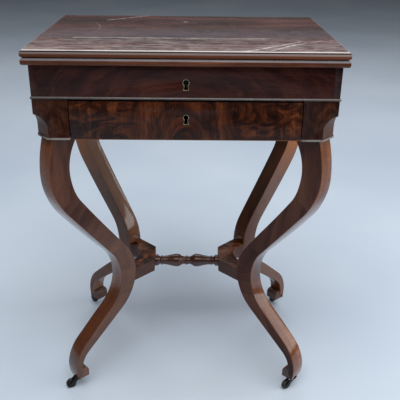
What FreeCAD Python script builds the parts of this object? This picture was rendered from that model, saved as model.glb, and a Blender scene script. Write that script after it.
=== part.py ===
import FreeCAD, Part
import math
import os
from types import SimpleNamespace

import Sketcher

# Fold-over writing desk. X runs to the right, Y to the back and Z up, in millimetres.
# The origin is on the floor under the middle of the top.

# Driving dimensions. Heights are above the floor, and depths of the leg are inward from its corner.
SIZES = {
    # Two equal leaves, one folded over the other
    "leaf_length": 550,
    "leaf_depth": 393,
    "leaf_thickness": 12.2,
    "leaf_edge_round": 4.6,
    "leaf_gap": 1,
    "leaf_overhang": 10,
    "top_gap": 0.4,
    # Writing surfaces let into the faces that meet
    "lining_margin": 42,
    "lining_thickness": 0.8,
    "lining_sink": 0.2,
    # Butt hinges on the back edge
    "hinge_place": 170,
    "hinge_length": 54,
    "hinge_reach": 17,
    "hinge_plate": 2,
    "hinge_pin_radius": 1.1,
    "hinge_set_back": 0.15,
    "knuckle_radius": 2.4,
    "knuckle_clearance": 0.1,
    "hinge_screw_spacing": 36,
    "hinge_screw_radius": 1.2,
    "hinge_screw_head": 2.4,
    "hinge_screw_length": 8,
    # Pivot of the top
    "pivot_radius": 6,
    "pivot_plate_radius": 28,
    "pivot_plate": 2.5,
    "pivot_clearance": 0.08,
    "nut_flange_radius": 15,
    "nut_flange": 2,
    "nut_radius": 11,
    "nut_height": 8,
    "nut_gap": 0.3,
    "batten_width": 64,
    "batten_thickness": 18,
    "batten_drop": 1,
    # Frieze
    "frieze_board": 12,
    "frieze_front_board": 15,
    "upper_frieze_height": 54.2,
    "bead_height": 5,
    "bead_proud": 2,
    "bead_rail_width": 20,
    "mitre_gap": 0.05,
    "lower_frieze_height": 72.7,
    "corner_block_width": 60.9,
    "corner_block_depth": 45,
    "tongue_drop": 25,
    "foot_bead_height": 3.6,
    "foot_bead_proud": 1.3,
    # Drawer and what it runs on
    "drawer_gap": 0.6,
    "drawer_top_gap": 2,
    "drawer_front": 15,
    "drawer_side": 9,
    "drawer_back_gap": 10,
    "drawer_back": 8,
    "drawer_bottom": 5,
    "drawer_bottom_rise": 4,
    "drawer_bottom_groove": 4,
    "drawer_side_drop": 8,
    "drawer_back_drop": 14,
    "runner_height": 8,
    "runner_ledge": 14,
    "runner_clearance": 0.3,
    "guide_width": 20,
    "guide_height": 40,
    # Locks and keyholes
    "lock_width": 46,
    "lock_height": 38,
    "lock_thickness": 9,
    "lock_clearance": 0.1,
    "lock_pin_radius": 1.1,
    "key_drop": 28.5,
    "keyway_radius": 3.6,
    "keyway_depth": 6,
    "bolt_width": 14,
    "bolt_thickness": 4,
    "bolt_height": 12,
    "bolt_clearance": 0.15,
    "bolt_sink": 0.2,
    "bolt_throw": 6,
    "keep_clearance": 1.5,
    "well_keyhole_radius": 6,
    "well_keyhole_height": 19.7,
    "drawer_keyhole_radius": 5.3,
    "drawer_keyhole_height": 18.2,
    "keyhole_foot": 4.9,
    "thread_width": 1.1,
    "thread_depth": 1.5,
    # Legs sawn from plank, seen square to the plank. The widths run from the outer curve to the inner one,
    # and the inner curve turns a little above or below the outer one.
    "leg_angle": 42,
    "leg_thickness": 34.2,
    "leg_height": 577.3,
    "shoulder_bow": 260,
    "knee_drop": 77.3,
    "knee_reach": 4.6,
    "knee_width": 42.3,
    "inner_knee_rise": 7,
    "waist_height": 240,
    "waist_depth": 140.5,
    "waist_width": 38.5,
    "inner_waist_rise": 2,
    "ankle_height": 55,
    "ankle_depth": 14,
    "ankle_width": 15.5,
    "inner_ankle_drop": 5,
    "toe_width": 1.571,
    "notch_height": 11,
    # Heel blocks
    "heel_length": 24,
    "heel_height": 23,
    "heel_width": 30,
    "heel_round": 9,
    # Casters
    "caster_pin_inset": 6,
    "caster_pin_radius": 2.4,
    "caster_pin_length": 10,
    "caster_pin_clearance": 0.08,
    "caster_plate_radius": 9.5,
    "caster_plate": 1.5,
    "caster_trail": 17,
    "caster_disc_radius": 8.4,
    "caster_disc": 2.4,
    "caster_disc_gap": 0.3,
    "wheel_radius": 11,
    "wheel_width": 7.6,
    "wheel_round": 2,
    "wheel_gap": 0.3,
    "wheel_crown_gap": 0.8,
    "axle_radius": 1.6,
    "axle_clearance": 0.06,
    "cheek_thickness": 1.8,
    "cheek_boss": 4.2,
    # Waist blocks and the stretcher between them
    "waist_block_rise": 3.5,
    "waist_block_thickness": 29,
    "waist_block_reach": 37.6,
    "waist_block_end_width": 58,
    "waist_block_cope": 9,
    "stretcher_drop": 4,
    "spigot_radius": 7,
    "spigot_length": 18,
    "collar_radius": 12.6,
    "ring_radius": 11.6,
    "fillet_radius": 8.6,
    "bulb_radius": 14.5,
    "neck_radius": 9,
    "centre_ring_proud": 1.6,
    # Dowels
    "dowel_radius": 4,
    "dowel_length": 50,
    "dowel_depth": 33.6,
    "dowel_spacing": 15,
    "dowel_clearance": 0.05,
    # One overrun for every cut
    "overrun": 2,
}

# A keyhole's waist, as shares of its round: across and down
KEYHOLE_WAIST_SHARES = (0.6, 0.8)
# The bows of the leg's curves: the knee's as a share of its rise above the waist, or of the whole rise from
# the waist to the leg's top on the inner curve, the ankle's as a share of its fall below the waist, and the
# waist's as a share of that rise and fall set side by side
OUTER_KNEE_SHARE, OUTER_WAIST_SHARE, OUTER_ANKLE_SHARE = 0.508, 0.86, 0.405
INNER_KNEE_SHARE, INNER_WAIST_SHARE, INNER_ANKLE_SHARE = 0.322, 0.943, 0.26
# The bead's rounding, as a share of its height
BEAD_ROUND_SHARE = 0.46
# The hollow in a waist block, as a share of half its width
HOLLOW_BOW_SHARE = 1.1
# Lengths along the turned stretcher, as shares of its half length between the waist blocks
COLLAR_SHARE, RING_SHARE, FILLET_SHARE, CENTRE_RING_SHARE = 0.147, 0.098, 0.028, 0.046
# Places along it from its middle, as shares of the same
NECK_SHARE, BULB_SHARE = 0.112, 0.308
# Where the cheeks of a caster leave its disc, as shares of the disc's radius
CHEEK_ROOT_SHARES = (-0.55, 0.9)

SIDES = {"left": -1, "right": 1}
CORNERS = {
    "front_left": (-1, -1),
    "front_right": (1, -1),
    "back_left": (-1, 1),
    "back_right": (1, 1),
}
# Which way each caster trails at rest, in degrees from X
CASTER_HEADINGS = {"front_left": 205, "front_right": 212, "back_left": 138, "back_right": 112}

UP = FreeCAD.Vector(0, 0, 1)
ACROSS = FreeCAD.Vector(1, 0, 0)
BACKWARD = FreeCAD.Vector(0, 1, 0)
NO_SHIFT = FreeCAD.Vector(0, 0, 0)

doc = FreeCAD.newDocument("WritingDesk")
sheet = doc.addObject("Spreadsheet::Sheet", "Sizes")
for row, (alias, amount) in enumerate(SIZES.items(), 1):
    sheet.set(f"A{row}", alias)
    sheet.set(f"B{row}", str(amount))
    sheet.setAlias(f"B{row}", alias)
doc.recompute()


class Size:
    """A length, angle or ratio that knows its value and the expression that gives it."""

    def __init__(self, value, text):
        self.value = value
        self.text = text

    def __add__(self, other):
        other = sized(other)
        return Size(self.value + other.value, f"({self.text} + {other.text})")

    def __sub__(self, other):
        other = sized(other)
        return Size(self.value - other.value, f"({self.text} - {other.text})")

    def __mul__(self, other):
        other = sized(other)
        return Size(self.value * other.value, f"{self.text} * {other.text}")

    def __truediv__(self, other):
        other = sized(other)
        return Size(self.value / other.value, f"{self.text} / ({other.text})")

    def __neg__(self):
        return self * -1

    __radd__ = __add__
    __rmul__ = __mul__


def sized(amount):
    """The amount as a Size, so that zero, signs and shares mix with sizes from the sheet."""
    if isinstance(amount, Size):
        return amount
    return Size(amount, f"({amount})")


def sine(angle):
    return Size(math.sin(math.radians(angle.value)), f"sin({angle.text})")


def cosine(angle):
    return Size(math.cos(math.radians(angle.value)), f"cos({angle.text})")


def root(amount):
    return Size(math.sqrt(amount.value), f"sqrt({amount.text})")


S = SimpleNamespace(**{alias: Size(amount, f"Sizes.{alias}") for alias, amount in SIZES.items()})


def bind(thing, prop, amount):
    thing.setExpression(prop, sized(amount).text)


def place(thing, x, y, z, rotation=None):
    """Put a piece at x, y, z."""
    thing.Placement = FreeCAD.Placement(NO_SHIFT, rotation or FreeCAD.Rotation())
    for letter, amount in zip("xyz", (x, y, z)):
        bind(thing, f"Placement.Base.{letter}", amount)
    return thing


def place_turned(thing, x, y, z, turn):
    """Put a piece at x, y, z, turned about the upright by an angle in degrees."""
    place(thing, x, y, z, FreeCAD.Rotation(UP, sized(turn).value))
    bind(thing, "Placement.Rotation.Angle", turn)
    return thing


def box(name, x, y, z):
    """A block between the low and high places given on each axis."""
    solid = doc.addObject("Part::Box", name)
    for prop, (low, high) in zip(("Length", "Width", "Height"), (x, y, z)):
        bind(solid, prop, sized(high) - low)
    return place(solid, x[0], y[0], z[0])


def rod(name, x, y, z, radius, length, direction=UP):
    """A cylinder that starts at x, y, z and runs its length along a direction."""
    solid = doc.addObject("Part::Cylinder", name)
    bind(solid, "Radius", radius)
    bind(solid, "Height", length)
    return place(solid, x, y, z, FreeCAD.Rotation(UP, direction))


def cut(name, base, tools):
    """The base less every tool, one after another."""
    for number, tool in enumerate(tools, 1):
        result = doc.addObject("Part::Cut", name if number == len(tools) else f"{name}_cut_{number}")
        result.Base = base
        result.Tool = tool
        base = result
    return result


def fuse(name, pieces):
    result = doc.addObject("Part::MultiFuse", name)
    result.Shapes = pieces
    return result


def common(name, base, tool):
    result = doc.addObject("Part::Common", name)
    result.Base = base
    result.Tool = tool
    return result


def group(name, pieces):
    """Separate solids kept together as one sub-part."""
    result = doc.addObject("Part::Compound", name)
    result.Links = pieces
    return result


def span(side, near, far):
    """The low and high places of something that lies from near to far on one side of the middle."""
    if side > 0:
        return near, far
    return -far, -near


def sketch_in(body, plane):
    """A new sketch on one of the body's own origin planes."""
    sketch = body.newObject("Sketcher::SketchObject", body.Name + "_sketch")
    origin_plane = [feature for feature in body.Origin.OriginFeatures if feature.Role == plane]
    sketch.AttachmentSupport = [(origin_plane[0], "")]
    sketch.MapMode = "FlatFace"
    return sketch


def constrain(sketch, kind, *where, amount=None):
    """A constraint, bound to a size where it has one."""
    if amount is None:
        sketch.addConstraint(Sketcher.Constraint(kind, *where))
        return
    index = sketch.addConstraint(Sketcher.Constraint(kind, *where, amount.value))
    bind(sketch, f"Constraints[{index}]", amount)


def fix_point(sketch, curve, end, x, y):
    """Hold one end (1 or 2) or the centre (3) of a curve at x, y."""
    constrain(sketch, "DistanceX", -1, 1, curve, end, amount=sized(x))
    constrain(sketch, "DistanceY", -1, 1, curve, end, amount=sized(y))


def flat_point(x, y):
    return FreeCAD.Vector(sized(x).value, sized(y).value, 0)


def drawn_arc(middle, radius, start, end, clockwise):
    """An arc about a middle between two points, and which of its ends is first and last that way round."""
    first, last = (end, start) if clockwise else (start, end)
    angles = [math.atan2(point.y - middle.y, point.x - middle.x) for point in (first, last)]
    arc = Part.ArcOfCircle(Part.Circle(middle, UP, radius), *angles)
    return arc, (2, 1) if clockwise else (1, 2)


def bow_between(start, end, bow):
    """The short arc from start to end, bulging to the left of that way, or to the right if bow is minus."""
    chord = end - start
    left = FreeCAD.Vector(-chord.y, chord.x, 0).normalize()
    hand = math.copysign(1, bow)
    sink = math.sqrt(max(bow ** 2 - (chord.Length / 2) ** 2, 0))
    middle = (start + end) / 2 - left * hand * sink
    return drawn_arc(middle, abs(bow), start, end, bow > 0)


def outline(sketch, corners, bows=None):
    """A closed outline through corners. bows gives a radius for the runs that are arcs, by number,
    minus where the arc bulges to the right of its run."""
    bows = bows or {}
    points = [flat_point(*corner) for corner in corners]
    ends = []
    for run, start in enumerate(points):
        end = points[(run + 1) % len(points)]
        curve, order = Part.LineSegment(start, end), (1, 2)
        if run in bows:
            curve, order = bow_between(start, end, bows[run].value)
        index = sketch.addGeometry(curve)
        ends.append([(index, place_on_curve) for place_on_curve in order])
    for run, corner in enumerate(corners):
        constrain(sketch, "Coincident", *ends[run - 1][1], *ends[run][0])
        fix_point(sketch, *ends[run][0], *corner)
    for run, bow in bows.items():
        constrain(sketch, "Radius", ends[run][0][0], amount=bow if bow.value > 0 else -bow)


def pad(body, sketch, length):
    """The sketch thickened by half the length to each side of its plane."""
    feature = body.newObject("PartDesign::Pad", body.Name + "_pad")
    feature.Profile = sketch
    feature.SideType = "Symmetric"
    bind(feature, "Length", length)
    return feature


def plate(name, plane, corners, thickness, bows=None):
    """A body with one padded outline."""
    body = doc.addObject("PartDesign::Body", name)
    sketch = sketch_in(body, plane)
    outline(sketch, corners, bows)
    pad(body, sketch, thickness)
    return body


def level_edges(shape, heights):
    """Names of the straight level edges that lie at one of the heights."""
    names = []
    for number, edge in enumerate(shape.Edges, 1):
        ends = [vertex.Z for vertex in edge.Vertexes]
        if max(ends) - min(ends) < 1e-6 and any(abs(ends[0] - height) < 1e-6 for height in heights):
            names.append(f"Edge{number}")
    return names


def rounded_slab(name, half_x, half_y, bottom, height, radius):
    """A rectangular slab whose level edges are all rounded."""
    corners = [(-half_x, -half_y), (half_x, -half_y), (half_x, half_y), (-half_x, half_y)]
    body = plate(name, "XY_Plane", corners, height)
    doc.recompute()
    padded = body.Tip
    half = height.value / 2
    rounding = body.newObject("PartDesign::Fillet", name + "_rounding")
    rounding.Base = (padded, level_edges(padded.Shape, (-half, half)))
    bind(rounding, "Radius", radius)
    place(body, 0, 0, bottom + height / 2)
    return body


def revolved(name, profile, bows=None):
    """A body turned about its X axis from a profile that starts and ends on that axis."""
    body = doc.addObject("PartDesign::Body", name)
    sketch = sketch_in(body, "XY_Plane")
    outline(sketch, profile, bows)
    turning = body.newObject("PartDesign::Revolution", name + "_turning")
    turning.Profile = sketch
    turning.ReferenceAxis = (sketch, ["H_Axis"])
    return body


# Heights from the floor up
leg_top = S.leg_height
bead_bottom = leg_top + S.lower_frieze_height
well_bottom = bead_bottom + S.bead_height
frieze_top = well_bottom + S.upper_frieze_height
lower_leaf_bottom = frieze_top + S.top_gap
lower_leaf_top = lower_leaf_bottom + S.leaf_thickness
fold_height = lower_leaf_top + S.leaf_gap / 2
upper_leaf_bottom = lower_leaf_top + S.leaf_gap

# Half sizes in plan
leaf_x = S.leaf_length / 2
leaf_y = S.leaf_depth / 2
frieze_x = leaf_x - S.leaf_overhang
frieze_y = leaf_y - S.leaf_overhang
inside_x = frieze_x - S.frieze_board
inside_y = frieze_y - S.frieze_board
front_inside_y = frieze_y - S.frieze_front_board
opening_x = frieze_x - S.corner_block_width

# The chamfered corner, where each leg stands square to the chamfer
chamfer_x = S.leg_thickness * sine(S.leg_angle)
chamfer_y = S.leg_thickness * cosine(S.leg_angle)
chamfer_depth = S.leg_thickness * sine(S.leg_angle) * cosine(S.leg_angle)
corner_x = frieze_x - chamfer_x / 2
corner_y = frieze_y - chamfer_y / 2

# The top turns about a point that brings the opened leaves over the middle of the frieze
fold_y = leaf_y + S.hinge_set_back
pivot_place = fold_y / 2


def on_leg(corner, depth):
    """The place in plan on a leg's middle plane, a depth inward from its chamfer."""
    side, end = CORNERS[corner]
    return (corner_x - depth * cosine(S.leg_angle)) * side, (corner_y - depth * sine(S.leg_angle)) * end


def leg_turn(corner):
    """The turn that points a leg's own X axis out of its corner."""
    side, end = CORNERS[corner]
    if side > 0:
        return S.leg_angle * end
    return sized(180) - S.leg_angle * end


def stand_on_corner(piece, corner, height=0):
    x, y = on_leg(corner, sized(0))
    return place_turned(piece, x, y, height, leg_turn(corner))


# The brass keyhole threads and the holes they line


def keyhole(name, inset, radius, height, depth, centre):
    """A keyhole-shaped plug: a round head over a flared foot, inset from its outline."""
    head = radius - inset
    foot = S.keyhole_foot - inset
    drop = height - radius - inset
    across, down = KEYHOLE_WAIST_SHARES
    waist = head * across
    corners = [
        (-waist, -(head * down)), (sized(0), head), (waist, -(head * down)), (foot, -drop), (-foot, -drop),
    ]
    plug = plate(name, "XZ_Plane", corners, depth, {0: head, 1: head})
    return place(plug, 0, *centre)


def lock(name, lock_top, face_y, board, radius, height):
    """Case, bolt and thread of one lock, with the cuts that they need in the board that holds them."""
    key_height = lock_top - S.key_drop
    back = face_y + board
    front = back - S.lock_thickness
    case_x = (-(S.lock_width / 2), S.lock_width / 2)
    case_z = (lock_top - S.lock_height, lock_top)
    bolt_y = ((front + back) / 2 - S.bolt_thickness / 2, (front + back) / 2 + S.bolt_thickness / 2)
    bolt_z = (lock_top - S.bolt_sink - S.bolt_height, lock_top - S.bolt_sink)
    channel = box(
        name + "_channel",
        (-(S.bolt_width / 2) - S.bolt_clearance, S.bolt_width / 2 + S.bolt_clearance),
        (bolt_y[0] - S.bolt_clearance, bolt_y[1] + S.bolt_clearance),
        (bolt_z[0] - S.bolt_clearance, lock_top + S.overrun),
    )
    keyway = rod(name + "_keyway", 0, front - S.overrun, key_height, S.keyway_radius,
                 S.keyway_depth + S.overrun, BACKWARD)
    block = box(name + "_block", case_x, (front, back), case_z)
    body = cut(name + "_shell", block, [channel, keyway])
    pin = rod(name + "_pin", 0, face_y + S.overrun, key_height, S.lock_pin_radius,
              board - S.overrun, BACKWARD)
    fuse(name + "_lock_case", [body, pin])
    box(name + "_lock_bolt", (-(S.bolt_width / 2), S.bolt_width / 2), bolt_y, bolt_z)
    mortise = box(
        name + "_mortise",
        (case_x[0] - S.lock_clearance, case_x[1] + S.lock_clearance),
        (front - S.lock_clearance, back + S.overrun),
        (case_z[0] - S.lock_clearance, lock_top + S.overrun),
    )
    recess_centre = (face_y + S.thread_depth / 2, key_height)
    recess = keyhole(name + "_recess", sized(0), radius, height, S.thread_depth, recess_centre)
    hole_centre = (face_y + board / 2, key_height)
    hole = keyhole(name + "_hole", S.thread_width, radius, height, board * 2, hole_centre)
    cut(name + "_keyhole_thread", recess, [hole])
    return [mortise, recess, hole], bolt_y


# Top: two leaves with their linings
lining_x = leaf_x - S.lining_margin
lining_y = leaf_y - S.lining_margin


def leaf(name, bottom, recess_floor, recess_mouth, extra_cuts):
    """A leaf with rounded edges and a shallow recess for its writing surface."""
    slab = rounded_slab(name + "_slab", leaf_x, leaf_y, bottom, S.leaf_thickness, S.leaf_edge_round)
    recess = box(name + "_recess", (-lining_x, lining_x), (-lining_y, lining_y), (recess_floor, recess_mouth))
    return cut(name, slab, [recess] + extra_cuts)


lining_depth = S.lining_thickness + S.lining_sink
lower_lining_z = (lower_leaf_top - lining_depth, lower_leaf_top - S.lining_sink)
upper_lining_z = (upper_leaf_bottom + S.lining_sink, upper_leaf_bottom + lining_depth)
box("lower_lining", (-lining_x, lining_x), (-lining_y, lining_y), lower_lining_z)
box("upper_lining", (-lining_x, lining_x), (-lining_y, lining_y), upper_lining_z)

# Butt hinges on the back edge: the lower plates hold the outer knuckles, the upper ones the middle knuckle


def hinge_half(name, side, plate_z, knuckle_x, other_x):
    """One plate of a hinge with its knuckles, bored for the pin and cut away for the other plate's knuckles."""
    middle = S.hinge_place * side
    plate_x = (middle - S.hinge_length / 2, middle + S.hinge_length / 2)
    flap = box(name + "_flap", plate_x, (fold_y - S.hinge_reach, fold_y), plate_z)
    bore = rod(
        name + "_bore", plate_x[0] - S.overrun, fold_y, fold_height,
        S.hinge_pin_radius + S.knuckle_clearance / 2, S.hinge_length + S.overrun * 2, ACROSS,
    )
    knuckles = []
    for number, (low, high) in enumerate(knuckle_x):
        knuckles.append(rod(f"{name}_knuckle_{number}", middle + low, fold_y, fold_height,
                            S.knuckle_radius, high - low, ACROSS))
    rooms = []
    for number, (low, high) in enumerate(other_x):
        room_x = (middle + low - S.knuckle_clearance, middle + high + S.knuckle_clearance)
        rooms.append(box(f"{name}_room_{number}", room_x,
                         (fold_y - S.knuckle_radius - S.knuckle_clearance, fold_y + S.overrun),
                         (plate_z[0] - S.overrun, plate_z[1] + S.overrun)))
    return cut(name, fuse(name + "_blank", [cut(name + "_leaf", flap, rooms)] + knuckles), [bore])


def hinge_mortise(name, side, z):
    middle = S.hinge_place * side
    return box(
        name,
        (middle - S.hinge_length / 2, middle + S.hinge_length / 2),
        (fold_y - S.hinge_reach, fold_y + S.overrun),
        z,
    )


def hinge_screw(name, side, offset, plate_face, into):
    """A countersunk screw let in flush with a hinge plate's face, running into the leaf."""
    x = S.hinge_place * side + offset
    y = fold_y - S.hinge_reach / 2 - S.knuckle_radius / 2
    head = doc.addObject("Part::Cone", name + "_head")
    bind(head, "Radius1", S.hinge_screw_head)
    bind(head, "Radius2", S.hinge_screw_radius)
    bind(head, "Height", S.hinge_plate)
    place(head, x, y, plate_face, FreeCAD.Rotation(UP, UP * into))
    start = plate_face if into > 0 else plate_face - S.hinge_screw_length
    shank = rod(name + "_shank", x, y, start, S.hinge_screw_radius, S.hinge_screw_length)
    return fuse(name, [head, shank])


half_hinge = S.hinge_length / 2
half_knuckle = S.hinge_length / 6
middle_knuckle = [(-half_knuckle, half_knuckle)]
outer_knuckles = [
    (-half_hinge, -half_knuckle - S.knuckle_clearance),
    (half_knuckle + S.knuckle_clearance, half_hinge),
]
outer_thirds = [(-half_hinge, -half_knuckle), (half_knuckle, half_hinge)]
screw_places = (-(S.hinge_screw_spacing / 2), sized(0), S.hinge_screw_spacing / 2)
lower_plate_z = (lower_leaf_top - S.hinge_plate, lower_leaf_top)
upper_plate_z = (upper_leaf_bottom, upper_leaf_bottom + S.hinge_plate)
deep_cut = S.knuckle_radius + S.knuckle_clearance
lower_halves, upper_halves, hinge_pins = [], [], []
lower_screws, upper_screws, lower_mortises, upper_mortises = [], [], [], []
for side_name, side in SIDES.items():
    start = len(lower_screws)
    for number, offset in enumerate(screw_places):
        ending = f"{side_name}_{number}"
        lower_screws.append(hinge_screw(f"lower_screw_{ending}", side, offset, lower_leaf_top, -1))
        upper_screws.append(hinge_screw(f"upper_screw_{ending}", side, offset, upper_leaf_bottom, 1))
    lower_half = hinge_half(f"lower_plate_{side_name}", side, lower_plate_z, outer_knuckles, middle_knuckle)
    upper_half = hinge_half(f"upper_plate_{side_name}", side, upper_plate_z, middle_knuckle, outer_thirds)
    lower_halves.append(cut(f"lower_hinge_{side_name}", lower_half, lower_screws[start:]))
    upper_halves.append(cut(f"upper_hinge_{side_name}", upper_half, upper_screws[start:]))
    knuckle_x = (S.hinge_place * side - half_hinge, S.hinge_place * side + half_hinge)
    knuckle_y = (fold_y - deep_cut, fold_y + S.overrun)
    hinge_pins.append(rod(f"hinge_pin_{side_name}", knuckle_x[0], fold_y, fold_height,
                          S.hinge_pin_radius, S.hinge_length, ACROSS))
    lower_mortises += [
        hinge_mortise(f"lower_mortise_{side_name}", side, (lower_plate_z[0], upper_leaf_bottom)),
        box(f"lower_knuckle_room_{side_name}", knuckle_x, knuckle_y,
            (fold_height - deep_cut, upper_leaf_bottom)),
    ]
    upper_mortises += [
        hinge_mortise(f"upper_mortise_{side_name}", side, (lower_leaf_top, upper_plate_z[1])),
        box(f"upper_knuckle_room_{side_name}", knuckle_x, knuckle_y,
            (lower_leaf_top, fold_height + deep_cut)),
    ]
group("lower_hinge_plates", lower_halves)
group("upper_hinge_plates", upper_halves)
group("hinge_pins", hinge_pins)
group("lower_hinge_screws", lower_screws)
group("upper_hinge_screws", upper_screws)

# Pivot: a plate let into the lower leaf with a bolt through the batten, held by a flanged nut
batten_top = frieze_top - S.batten_drop
batten_bottom = batten_top - S.batten_thickness
flange_z = batten_bottom - S.nut_gap - S.nut_flange
nut_z = flange_z - S.nut_height
pivot_top = lower_leaf_bottom + S.pivot_plate
pivot_stem = rod("pivot_stem", pivot_place, pivot_place, nut_z, S.pivot_radius, pivot_top - nut_z)
pivot_disc = rod("pivot_disc", pivot_place, pivot_place, lower_leaf_bottom, S.pivot_plate_radius, S.pivot_plate)
fuse("pivot_bolt", [pivot_stem, pivot_disc])
nut_flange = rod("nut_flange", pivot_place, pivot_place, flange_z, S.nut_flange_radius, S.nut_flange)
nut_hexagon = doc.addObject("Part::Prism", "nut_hexagon")
nut_hexagon.Polygon = 6
bind(nut_hexagon, "Circumradius", S.nut_radius)
bind(nut_hexagon, "Height", S.nut_height)
place(nut_hexagon, pivot_place, pivot_place, nut_z)
cut("pivot_nut", fuse("nut_blank", [nut_flange, nut_hexagon]), [pivot_stem])

# The well lock stands in the front board of the upper frieze, with room for its bolt above
well_cuts, well_bolt_y = lock("well", frieze_top, -frieze_y, S.frieze_front_board, S.well_keyhole_radius,
                              S.well_keyhole_height)
keep_x = S.bolt_width / 2 + S.keep_clearance
well_keep = box(
    "well_keep", (-keep_x, keep_x), (well_bolt_y[0] - S.keep_clearance, well_bolt_y[1] + S.keep_clearance),
    (lower_leaf_bottom - S.overrun, lower_leaf_bottom + S.bolt_throw + S.keep_clearance),
)
leaf("lower_leaf", lower_leaf_bottom, lower_leaf_top - lining_depth, lower_leaf_top + S.overrun,
     lower_mortises + lower_screws + [pivot_disc, well_keep])
leaf("upper_leaf", upper_leaf_bottom, upper_leaf_bottom - S.overrun, upper_leaf_bottom + lining_depth,
     upper_mortises + upper_screws)

# Upper frieze: the four walls of the well
wall_z = (well_bottom, frieze_top)
front_board = box("frieze_front_board", (-inside_x, inside_x), (-frieze_y, -front_inside_y), wall_z)
cut("frieze_front", front_board, well_cuts)
box("frieze_back", (-inside_x, inside_x), (inside_y, frieze_y), wall_z)
for side_name, side in SIDES.items():
    box(f"frieze_{side_name}", span(side, inside_x, frieze_x), (-frieze_y, frieze_y), wall_z)
batten_blank = box(
    "batten_blank", (pivot_place - S.batten_width / 2, pivot_place + S.batten_width / 2),
    (-front_inside_y, inside_y), (batten_bottom, batten_top),
)
batten_bore = rod("batten_bore", pivot_place, pivot_place, batten_bottom - S.overrun,
                  S.pivot_radius + S.pivot_clearance, S.batten_thickness + S.overrun * 2)
cut("pivot_batten", batten_blank, [batten_bore])

# Bead rails: one rounded slab cut by four mitred outlines, with a floor for the well between them
bead_x = frieze_x + S.bead_proud
bead_y = frieze_y + S.bead_proud
rail = S.bead_rail_width + S.bead_proud
floor_x = bead_x - rail
floor_y = bead_y - rail
bead_slab = rounded_slab("bead_slab", bead_x, bead_y, bead_bottom, S.bead_height, S.bead_height * BEAD_ROUND_SHARE)
mitre_x = bead_x - S.mitre_gap
inner_mitre_x = floor_x - S.mitre_gap
rail_outlines = {
    "front": [(-mitre_x, -bead_y), (mitre_x, -bead_y), (inner_mitre_x, -floor_y), (-inner_mitre_x, -floor_y)],
    "back": [(-inner_mitre_x, floor_y), (inner_mitre_x, floor_y), (mitre_x, bead_y), (-mitre_x, bead_y)],
    "left": [(-bead_x, -bead_y), (-floor_x, -floor_y), (-floor_x, floor_y), (-bead_x, bead_y)],
    "right": [(floor_x, -floor_y), (bead_x, -bead_y), (bead_x, bead_y), (floor_x, floor_y)],
}
bead_rails = {}
for rail_name, corners in rail_outlines.items():
    prism = plate(f"rail_{rail_name}_prism", "XY_Plane", corners, S.bead_height + S.overrun)
    place(prism, 0, 0, bead_bottom + S.bead_height / 2)
    bead_rails[rail_name] = common(f"rail_{rail_name}", bead_slab, prism)
box("well_floor", (-floor_x, floor_x), (-floor_y, floor_y), (bead_bottom, well_bottom))

# Legs, all cut from one outline


def tangent_points(first, first_bow, second, second_bow, lean):
    """Where a straight run leaves one circle and meets the next, which bends the other way."""
    way = second - first
    swing = math.atan2(way.y, way.x) + lean * math.acos((first_bow.value + second_bow.value) / way.Length)
    normal = FreeCAD.Vector(math.cos(swing), math.sin(swing), 0)
    return first + normal * first_bow.value, second - normal * second_bow.value


def add_bow(sketch, centre, bow, start, end):
    """An arc about a fixed centre, drawn the short way from start to end. Returns its first and last ends."""
    middle = flat_point(*centre)
    clockwise = (start - middle).cross(end - middle).z < 0
    curve, order = drawn_arc(middle, bow.value, start, end, clockwise)
    index = sketch.addGeometry(curve)
    fix_point(sketch, index, 3, *centre)
    constrain(sketch, "Radius", index, amount=bow)
    return (index, order[0]), (index, order[1])


def add_curve(sketch, bows, leans, start_height, end_height):
    """Arcs joined by straight runs that touch them. Each bow is its centre and its radius."""
    centres = [flat_point(*centre) for centre, bow in bows]
    joints = []
    for number, lean in enumerate(leans):
        pair = (centres[number], bows[number][1], centres[number + 1], bows[number + 1][1])
        joints.append(tangent_points(*pair, lean))
    ends = []
    for height, number in ((start_height, 0), (end_height, len(bows) - 1)):
        rise = height.value - centres[number].y
        reach = math.sqrt(bows[number][1].value ** 2 - rise ** 2)
        ends.append(FreeCAD.Vector(centres[number].x + reach, height.value, 0))
    starts = [ends[0]] + [joint[1] for joint in joints]
    stops = [joint[0] for joint in joints] + [ends[1]]
    arcs = [add_bow(sketch, *bow, start, stop) for bow, start, stop in zip(bows, starts, stops)]
    for number, joint in enumerate(joints):
        run = sketch.addGeometry(Part.LineSegment(*joint))
        constrain(sketch, "Tangent", *arcs[number][1], run, 1)
        constrain(sketch, "Tangent", run, 2, *arcs[number + 1][0])
    constrain(sketch, "DistanceY", -1, 1, *arcs[0][0], amount=start_height)
    constrain(sketch, "DistanceY", -1, 1, *arcs[-1][1], amount=end_height)
    return (arcs[0][0], ends[0]), (arcs[-1][1], ends[1])


def waist_bow(rise, fall, share):
    """The waist's bow, which leaves room for the curves above and below it."""
    return rise * fall / (rise + fall) * share


toe_height = S.wheel_radius * 2 + S.wheel_crown_gap + S.caster_disc + S.caster_disc_gap + S.caster_plate
notch_top = toe_height + S.notch_height
knee_height = leg_top - S.knee_drop
rise = knee_height - S.waist_height
fall = S.waist_height - S.ankle_height
outer_knee = rise * OUTER_KNEE_SHARE
outer_waist = waist_bow(rise, fall, OUTER_WAIST_SHARE)
outer_ankle = fall * OUTER_ANKLE_SHARE
outer_bows = [
    ((S.knee_reach - outer_knee, knee_height), outer_knee),
    ((outer_waist - S.waist_depth, S.waist_height), outer_waist),
    ((-S.ankle_depth - outer_ankle, S.ankle_height), outer_ankle),
]
shoulder_centre = (S.knee_reach - S.shoulder_bow, knee_height)

toe_rise = S.ankle_height - toe_height
toe_depth = S.ankle_depth + outer_ankle - root(outer_ankle * outer_ankle - toe_rise * toe_rise)
notch_depth = toe_depth + S.toe_width

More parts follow.
